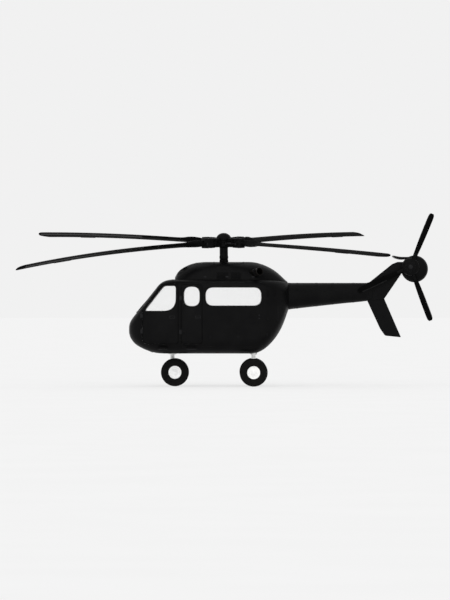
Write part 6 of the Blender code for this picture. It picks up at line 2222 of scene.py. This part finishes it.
def build_outside_fittings():
    """Steps, lights, static ports and the fuel cap, all within the side outline."""
    for side, word in SIDES:
        build_steps(side, word)
        centre = spot(LAMP_STATION, side * LAMP_Y, between_rows(FINE_HULL, LAMP_STATION)[1])
        build_light("landing", word, centre, Vector((-0.42, 0, -0.91)), LAMP_RADIUS, WHITE_LENS)
        y, lens = hull_y(POSITION_STATION, POSITION_Z), RED_LENS if side == PORT else GREEN_LENS
        centre = spot(POSITION_STATION, side * y, POSITION_Z)
        build_light("position", word, centre, Vector((0, side * 0.28, -0.96)), POSITION_RADIUS, lens)
        out = (0, side, 0)
        shapes = []
        for z in PORTS_Z:
            place = spot(PORT_STATION, side * hull_y(PORT_STATION, z), z)
            shapes.append(turned(STATIC_PORT, place, out, 32, closed=True))
        if side == STARBOARD:
            station, z = FUEL_CAP_PLACE
            shapes.append(turned(FUEL_CAP, spot(station, side * hull_y(station, z), z), out))
        piece(merge(*shapes), f"static_ports_{word}", "airframe", DARK)


build_pilot_seats()
build_bench()
build_panel()
build_floor_fittings()
build_outside_fittings()


# Camera, light and floor

CAMERA_DISTANCE, CAMERA_HEIGHT = 145.0, 2.9
SENSOR_WIDTH, VIEW_WIDTH = 36.0, 14.06
VIEW_CENTRE = Vector((MAST_X + 0.04, MAST_Y, 2.69))
BACKDROP, FLOOR_GLOW = 0.88, 0.646
FLOOR_RADIUS, FLOOR_THICK, FLOOR_Z = 400.0, 0.5, -0.002
SUNS = (                                 # name, strength, size in degrees, and turn about X and Y
    ("soft_sun", 0.36, 40, (32, -18)),
    ("soft_fill", 0.75, 70, (82, 0)),
)


def build_camera():
    camera_data = bpy.data.cameras.new("camera")
    camera_data.sensor_fit = "HORIZONTAL"
    camera_data.sensor_width = SENSOR_WIDTH
    camera_data.lens = SENSOR_WIDTH * CAMERA_DISTANCE / VIEW_WIDTH
    camera_data.clip_end = 600
    camera = bpy.data.objects.new("camera", camera_data)
    SCENE.objects.link(camera)
    camera.location = (VIEW_CENTRE.x, MAST_Y - CAMERA_DISTANCE, CAMERA_HEIGHT)
    camera.rotation_euler = (VIEW_CENTRE - camera.location).to_track_quat("-Z", "Y").to_euler()
    bpy.context.scene.camera = camera


def build_sky():
    world = bpy.data.worlds.new("studio")
    world.use_nodes = True
    background = world.node_tree.nodes["Background"]
    background.inputs["Color"].default_value = (*grey(BACKDROP), 1)
    background.inputs["Strength"].default_value = 1.0
    bpy.context.scene.world = world
    bpy.context.scene.view_settings.view_transform = "Standard"
    bpy.context.scene.view_settings.look = "None"


def build_floor():
    """Pale ground that glows a little, so that it meets the backdrop without a line."""
    profile = ((0.0, 0.0), (FLOOR_RADIUS, 0.0), (FLOOR_RADIUS, -FLOOR_THICK), (0.0, -FLOOR_THICK))
    floor = turned(profile, (0, 0, FLOOR_Z), UP, 64)
    floor.name = "studio_floor"
    made, tree, shader = nodes_of("studio_floor_paint")
    paint = ramp(tree, noise(tree, 0.4), grey(0.245), grey(0.255))
    tree.links.new(paint, shader.inputs["Base Color"])
    shader.inputs["Emission Color"].default_value = (1, 1, 1, 1)
    shader.inputs["Emission Strength"].default_value = FLOOR_GLOW
    shader.inputs["Roughness"].default_value = 0.9
    shader.inputs["Specular IOR Level"].default_value = 0.0
    floor.data.materials.append(made)


def build_suns():
    for name, strength, size, turn in SUNS:
        sun_data = bpy.data.lights.new(name, "SUN")
        sun_data.energy = strength
        sun_data.angle = radians(size)
        sun = bpy.data.objects.new(name, sun_data)
        SCENE.objects.link(sun)
        sun.rotation_euler = (radians(turn[0]), radians(turn[1]), 0)


build_camera()
build_sky()
build_floor()
build_suns()
